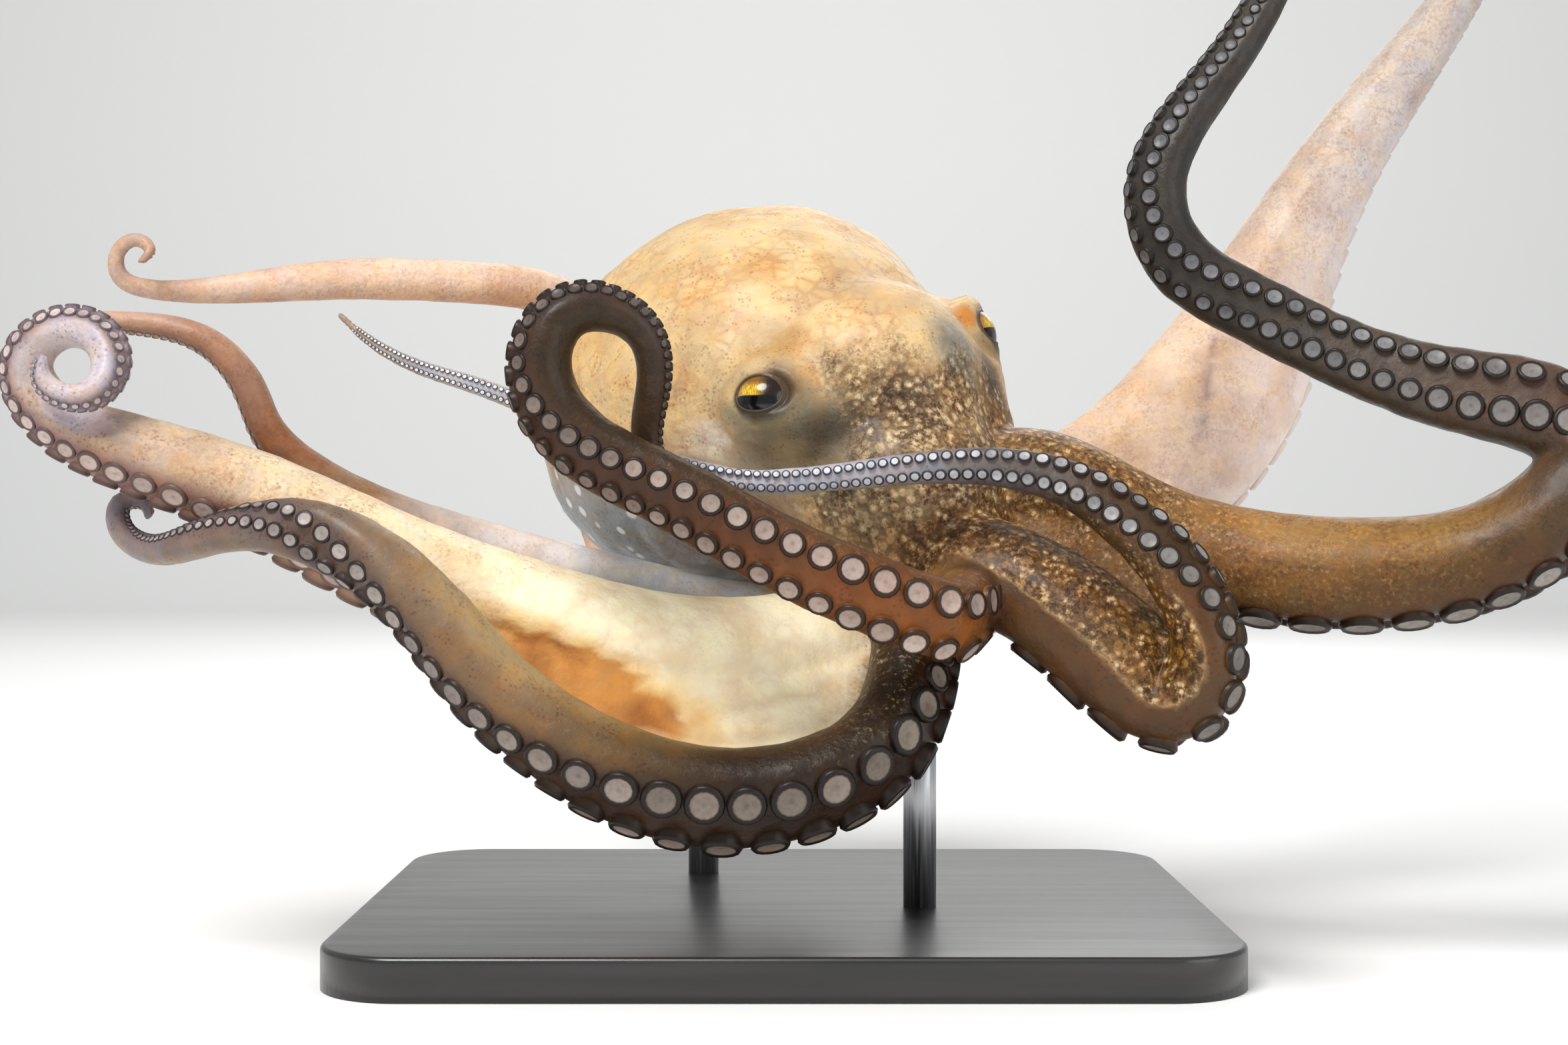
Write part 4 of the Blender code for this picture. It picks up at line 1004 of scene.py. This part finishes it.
def place_piece(name, mesh, material, nodes):
    """Links a finished mesh as a piece that rides with the model and stands for the given nodes."""
    mesh.materials.clear()
    mesh.materials.append(material)
    mesh.polygons.foreach_set("use_smooth", [True] * len(mesh.polygons))
    made = put(name, mesh)
    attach(made, "root")
    if nodes:
        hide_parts(*nodes)
    print(name + ":", len(mesh.polygons), "faces")


place_piece("octopus_skin", skin_mesh, skin_look, FLESH)

# %% [markdown]
# ## Suckers
# Each arm carries two rows that alternate like the teeth of a zip. A sucker is a short stalk with a
# soft disc: pale inside, with a dark rim. One cup is made by spinning a profile, in a large and a
# small version of a few dozen faces, and copies are scaled and set along the arm.

# %% The cup shapes
def cup(segments, profile):
    """A cup one unit across. Each row: radius, height, and how far out it is from centre to wall."""
    bm = bmesh.new()
    layer = bm.verts.layers.float.new("cup")
    line = [bm.verts.new((radius, 0, height)) for radius, height, outward in profile]
    for vert, (radius, height, outward) in zip(line, profile):
        vert[layer] = outward
    spun(bm, line, segments, 0.001)
    return as_mesh(bm, "cup")


LARGE_CUP = cup(14, ((0, 0.08, 0.0), (0.11, 0.1, 0.12), (0.35, 0.13, 0.45), (0.44, 0.17, 0.62),
                     (0.51, 0.08, 0.86), (0.39, -0.36, 1.1)))
SMALL_CUP = cup(10, ((0, 0.1, 0.0), (0.33, 0.16, 0.45), (0.5, 0.09, 0.86), (0.4, -0.38, 1.09)))
# Suckers wider than this, in millimetres, get the large cup.
LARGE_FROM = 3.2


# %% Setting them along an arm
# Where the suckers begin along an arm, and the width below which there are none, in millimetres. The
# first ones of L2 are folded in under L1 where it leaves the crown.
FIRST, FIRST_OF_L2, SMALLEST = 9.0, 78.0, 0.75
# Neighbours in a row are this many widths apart, and each row leans outward.
SPACING, SPLAY = 1.24, math.radians(23)
# Soft suckers swell until their rims all but touch.
FULLNESS = 1.14


def sucker_spots(arm):
    """Place, axis, width and distance along the arm of every sucker."""
    s, sign, found = FIRST_OF_L2 if arm.key == "l2" else FIRST, 1, []
    while s < arm.length - 1.5:
        _, across, size = arm.sizes(s)
        if size < SMALLEST:
            break
        apart = min(0.8, 0.84 * size / across) ** (1 / SQUARE)
        angle = -math.acos(apart) if sign > 0 else math.acos(apart) - math.pi
        foot = arm.surface(s, angle)
        axis = arm.at(s, arm.oral) * math.cos(SPLAY) + arm.at(s, arm.side) * math.sin(SPLAY) * sign
        found.append((foot, axis, size * chance.uniform(0.94, 1.05), s))
        # Suckers crowd on the inside of a bend and spread on the outside.
        inward = float(arm.at(s, arm.bend) @ (foot - arm.at(s, arm.points)))
        s += 0.5 * SPACING * size / min(1.7, max(0.45, 1 - inward))
        sign = -sign
    return found


def has_room(spot, others):
    """False where a sucker would cut into one of another arm, as at the crown where roots meet."""
    foot, _, size, _ = spot
    return all(np.linalg.norm(foot - other[0]) > 0.5 * FULLNESS * (size + other[2]) for other in others)


suckers = {}
for key, arm in arms.items():
    placed = [spot for found in suckers.values() for spot in found]
    wanted = sucker_spots(arm)
    suckers[key] = [spot for spot in wanted if has_room(spot, placed)]
    print(key, "suckers:", len(suckers[key]), "left out:", len(wanted) - len(suckers[key]))

# %% Joining the suckers of each arm
# Tints of the discs, from the root of each arm to its tip. R1's dark ones round its loop are partly
# painted shade.
DISC_TINTS = {
    "r1": ("#cdbdb4", "#a8968c", "#62564e", "#6c6058"), "r2": ("#7a6e62", "#8a7e74", "#a09690", "#a8a0a0"),
    "r3": ("#b49c90", "#c2a89e", "#cbb6ae", "#b0a4a6"), "r4": ("#cdb8aa", "#cdb8aa", "#b89c8c", "#b89c8c"),
    "l4": ("#d2beb0", "#d2beb0", "#dccabe", "#c8b4a8"), "l3": ("#dccabd", "#e4d6cc", "#dccec4", "#c8bcb2"),
    "l2": ("#7c7266", "#8e8880", "#76767a", "#6c6c6c"), "l1": ("#5e4838", "#85827e", "#d0d2dc", "#e6e8ee"),
}
# How dark the rim is against the wall; it is faint on the pale arms.
RIM_DARKNESS = {"l3": 0.05, "l4": 0.1, "r4": 0.3, "r3": 0.65}
USUAL_DARKNESS = 0.88


def sucker_mesh(key):
    """All the suckers of one arm as one mesh, with the tint of wall and disc on each point."""
    bm = bmesh.new()
    bm.verts.layers.float.new("cup")
    wall_layer = bm.verts.layers.float_color.new("tint")
    disc_layer = bm.verts.layers.float_color.new("disc")
    discs = colour_of(DISC_TINTS[key])
    for foot, axis, size, s in suckers[key]:
        before = len(bm.verts)
        bm.from_mesh(LARGE_CUP if size > LARGE_FROM else SMALL_CUP)
        bm.verts.ensure_lookup_table()
        fresh = bm.verts[before:]
        turn = Vector(axis).to_track_quat("Z", "Y").to_matrix().to_4x4()
        lean = Matrix.Diagonal((1, chance.uniform(0.92, 1.04), 1, 1))
        grown = Matrix.Scale(FULLNESS * size * MM, 4)
        moved = Matrix.Translation(Vector(foot) * MM)
        bmesh.ops.transform(bm, matrix=moved @ turn @ lean @ grown, verts=fresh)
        wall = blend_rows(key, np.array([s]), np.array([0.6]))[0][0]
        disc = read(3 * s / arms[key].length, range(4), discs)
        disc += (wall - disc) * chance.uniform(0.0, 0.3)
        shade = chance.uniform(0.72, 1.12)
        for vert in fresh:
            vert[wall_layer] = (*wall, 1)
            vert[disc_layer] = (*(disc * shade), RIM_DARKNESS.get(key, USUAL_DARKNESS))
    return as_mesh(bm, "suckers_" + key)


# %% [markdown]
# ## What a sucker is made of
# The disc is smooth, pale and wet, with fine folds that run across it. Its rim is dark brown, and the
# wall takes the colour of the arm's skin. The stored distance from centre to wall picks the colour.

# %% Sucker material
sucker_look, tree, shader = new_material("pale_sucker_disc_with_dark_rim")
place = add(tree, "TexCoord").node.outputs["Object"]
outward = add(tree, "Attribute", {"attribute_name": "cup"}).node.outputs["Fac"]
wall = add(tree, "Attribute", {"attribute_name": "tint"})
disc = add(tree, "Attribute", {"attribute_name": "disc"})
darkness = disc.node.outputs["Alpha"]
# Painted shade darkens the middle of the disc, over its hole.
amount = add(tree, "MapRange", SOFT, outward, 0.14, 0.02, 0.0, 0.25)
disc = add(tree, "MixRGB", DARKEN, amount, disc, linear("#6a5850"))
folds = add(tree, "TexNoise", None, Vector=place, Scale=1000 / 1.5, Detail=2.0)
amount = add(tree, "MapRange", SOFT, folds, 0.4, 0.65, 0.0, 0.25)
disc = add(tree, "MixRGB", DARKEN, amount, disc, linear("#b08a7a"))
rim = add(tree, "MixRGB", BLEND, darkness, wall, linear("#160d09"))
colour = add(tree, "MixRGB", BLEND, add(tree, "MapRange", SOFT, outward, 0.4, 0.5), disc, rim)
colour = add(tree, "MixRGB", BLEND, add(tree, "MapRange", SOFT, outward, 0.84, 0.97), colour, wall)
feed(shader, {
    "Base Color": colour, "Roughness": add(tree, "MapRange", SOFT, outward, 0.4, 0.6, 0.42, 0.5),
    "Specular IOR Level": 0.25, "Coat Weight": 0.12, "Coat Roughness": 0.2,
    "Subsurface Weight": 0.12, "Subsurface Radius": (0.003, 0.002, 0.0015), "Subsurface Scale": 1.0,
    "Normal": add(tree, "Bump", None, Strength=0.3, Distance=0.0003, Height=folds)})
for key in arms:
    place_piece("suckers_" + key, sucker_mesh(key), sucker_look, [])

# %% [markdown]
# ## Eyes
# The eyeball is a sphere set deep behind the lids. Its golden iris has fine streaks, and the pupil is
# a level black slit. Both are drawn from a map of the ball seen from the front, in millimetres, so
# that the slit stays level on each eye. Painted shade of the lids darkens the iris above, below and toward
# one side.

# %% Eyeballs
# The map covers this many millimetres each way.
MAP_MM = 20


def eyeball(name):
    """A ball behind the lids, with the map of its front."""
    bm = bmesh.new()
    verts = bmesh.ops.create_uvsphere(bm, u_segments=48, v_segments=32, radius=EYE_RADIUS * MM)["verts"]
    map_layer = bm.loops.layers.uv.new("front")
    for face in bm.faces:
        for loop in face.loops:
            x, y, z = loop.vert.co / MM
            loop[map_layer].uv = (0.5 + x / MAP_MM, 0.5 + y / MAP_MM) if z > -1 else (0.0, 0.0)
    turn = Matrix(eye_frame(name)).transposed().to_4x4()
    bmesh.ops.transform(bm, matrix=Matrix.Translation(EYE_AT[name] * MM) @ turn, verts=verts)
    return as_mesh(bm, name + "_ball")


# %% Eye material
# A clear, very smooth coat gives the eye its sharp wet highlight over the duller iris.
eye_look, tree, shader = new_material("golden_iris_with_level_slit")
front = add(tree, "UVMap", {"uv_map": "front"})
centred = add(tree, "Mapping", None, Vector=front, Location=(-MAP_MM / 2, -MAP_MM / 2, 0),
              Scale=(MAP_MM, MAP_MM, 1))
split = add(tree, "SeparateXYZ", None, centred).node
across, upward = split.outputs["X"], split.outputs["Y"]
# Slit: its middle line sags a little, and it narrows toward both ends.
PUPIL_AT, PUPIL_HALF, PUPIL_REACH, SAG = -2.2, 1.9, 7.4, 0.03
sag = add(tree, "Math", TIMES, add(tree, "Math", TIMES, across, across), SAG)
off_line = add(tree, "Math", MINUS, upward, add(tree, "Math", {"operation": "ADD"}, sag, PUPIL_AT))
outer = add(tree, "Math", SIZE_OF, add(tree, "Math", {"operation": "DIVIDE"}, across, PUPIL_REACH))
taper = add(tree, "Math", MINUS, 1.0, add(tree, "Math", {"operation": "POWER"}, outer, 3.0))
half_slit = add(tree, "Math", TIMES, taper, PUPIL_HALF)
edge = add(tree, "Math", MINUS, add(tree, "Math", SIZE_OF, off_line), half_slit)
stretched = add(tree, "Mapping", None, Vector=front, Scale=(60, 14, 1))
streaks = add(tree, "TexNoise", None, Vector=stretched, Scale=1.0, Detail=3.0)
amount = add(tree, "MapRange", SOFT, streaks, 0.35, 0.65)
iris = add(tree, "MixRGB", BLEND, amount, linear("#a97a10"), linear("#e6c238"))
# Each row: what is measured, from and to where in millimetres, how strong, and the tint it brings in. The
# dark rows above and below are painted shade of the lids. The row toward one side is partly painted shade
# and partly a darker iris. The purple-brown row and the black slit are the eye's own colours.
IRIS_TINTS_AND_LID_SHADE = (
    (upward, 1.6, 4.4, 1.0, "#7a4e14"), (across, -0.4, 3.6, 1.0, "#1e1006"),
    (across, -3.6, -6.0, 0.75, "#6a3a44"), (upward, -1.6, -2.6, 0.9, "#2c2620"),
    (edge, 0.25, -0.1, 1.0, "#050507"),
)
for measure, low, high, strength, hex_colour in IRIS_TINTS_AND_LID_SHADE:
    amount = add(tree, "MapRange", SOFT, measure, low, high, 0.0, strength)
    iris = add(tree, "MixRGB", BLEND, amount, iris, linear(hex_colour))
feed(shader, {
    "Base Color": iris, "Roughness": 0.22, "Specular IOR Level": 0.25, "Coat Weight": 0.5,
    "Coat Roughness": 0.03,
    "Normal": add(tree, "Bump", None, Strength=0.25, Distance=0.0002, Height=streaks)})
for name in EYE_AT:
    place_piece(name + "_ball", eyeball(name), eye_look, [name])

# %% [markdown]
# ## Beak and stand
# An octopus bites with a dark horny beak like a parrot's. Here its solid is a plain cone that is
# right as it is and only needs a material. The stand is a lacquered board, made from a cube with
# bevelled corners and edges, and two steel rods that were brushed along their length.

# %% Horn, lacquer and steel
# Horn: black with brown showing through, and a sheen that changes from place to place.
horn, tree, shader = new_material("dark_horn")
place = add(tree, "TexCoord").node.outputs["Object"]
layers = add(tree, "TexNoise", None, Vector=place, Scale=1000 / 2.5, Detail=3.0)
amount = add(tree, "MapRange", SOFT, layers, 0.35, 0.65)
feed(shader, {
    "Base Color": add(tree, "MixRGB", BLEND, amount, linear("#17100c"), linear("#3a2415")),
    "Roughness": add(tree, "MapRange", SOFT, layers, 0.3, 0.7, 0.22, 0.36)})
for slot in bpy.data.objects["beak"].material_slots:
    slot.material = horn

# Satin black lacquer: a soft reflection over wood grain that barely shows through.
lacquer, tree, shader = new_material("satin_black_lacquer")
place = add(tree, "TexCoord").node.outputs["Object"]
along_board = add(tree, "Mapping", None, Vector=place, Scale=(14, 220, 220))
wood = add(tree, "TexNoise", None, Vector=along_board, Scale=1.0, Detail=5.0)
amount = add(tree, "MapRange", SOFT, wood, 0.35, 0.7)
feed(shader, {
    "Base Color": add(tree, "MixRGB", BLEND, amount, linear("#151414"), linear("#242120")),
    "Roughness": add(tree, "MapRange", SOFT, wood, 0.3, 0.7, 0.32, 0.4),
    "Coat Weight": 0.4, "Coat Roughness": 0.22,
    "Normal": add(tree, "Bump", None, Strength=0.25, Distance=0.0002, Height=wood)})

# Brushed steel: lines along the rod, drawn coarser than real ones so that they show. They spread a
# highlight round the rod.
steel, tree, shader = new_material("brushed_steel")
place = add(tree, "TexCoord").node.outputs["Object"]
along_rod = add(tree, "Mapping", None, Vector=place, Scale=(2600, 2600, 40))
brushing = add(tree, "TexNoise", None, Vector=along_rod, Scale=1.0, Detail=2.0)
amount = add(tree, "MapRange", SOFT, brushing, 0.3, 0.7)
feed(shader, {
    "Base Color": add(tree, "MixRGB", BLEND, amount, linear("#a8aaae"), linear("#d0d2d4")),
    "Metallic": 1.0, "Roughness": add(tree, "MapRange", SOFT, brushing, 0.3, 0.7, 0.3, 0.46),
    "Normal": add(tree, "Bump", None, Strength=0.15, Distance=0.00005, Height=brushing)})
print("horn, lacquer and steel ready")

# %% Board and rods
low, high = (Vector(corner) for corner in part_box("stand_base"))
CORNER, SOFTENED = 24 * MM, 1.5 * MM
bm = bmesh.new()
bmesh.ops.create_cube(bm, size=1.0)
bmesh.ops.scale(bm, vec=high - low, verts=bm.verts[:])
bmesh.ops.translate(bm, vec=(low + high) / 2, verts=bm.verts[:])
upright = [e for e in bm.edges if abs(e.verts[0].co.z - e.verts[1].co.z) > MM]
bmesh.ops.bevel(bm, geom=upright, offset=CORNER, segments=16, profile=0.5, affect="EDGES", material=-1)
rim = [e for e in bm.edges if min(v.co.z for v in e.verts) > high.z - 0.1 * MM]
bmesh.ops.bevel(bm, geom=rim, offset=SOFTENED, segments=4, profile=0.5, affect="EDGES", material=-1)
place_piece("stand_board", as_mesh(bm, "stand_board"), lacquer, ["stand_base"])
for node in ("stand_rod_back", "stand_rod_front"):
    low, high = (Vector(corner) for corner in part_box(node))
    radius = (high.x - low.x) / 2
    bm = bmesh.new()
    bmesh.ops.create_cone(bm, cap_ends=True, segments=48, radius1=radius, radius2=radius,
                          depth=high.z - low.z)
    bmesh.ops.translate(bm, vec=(low + high) / 2, verts=bm.verts[:])
    place_piece(node + "_bar", as_mesh(bm, node + "_bar"), steel, [node])
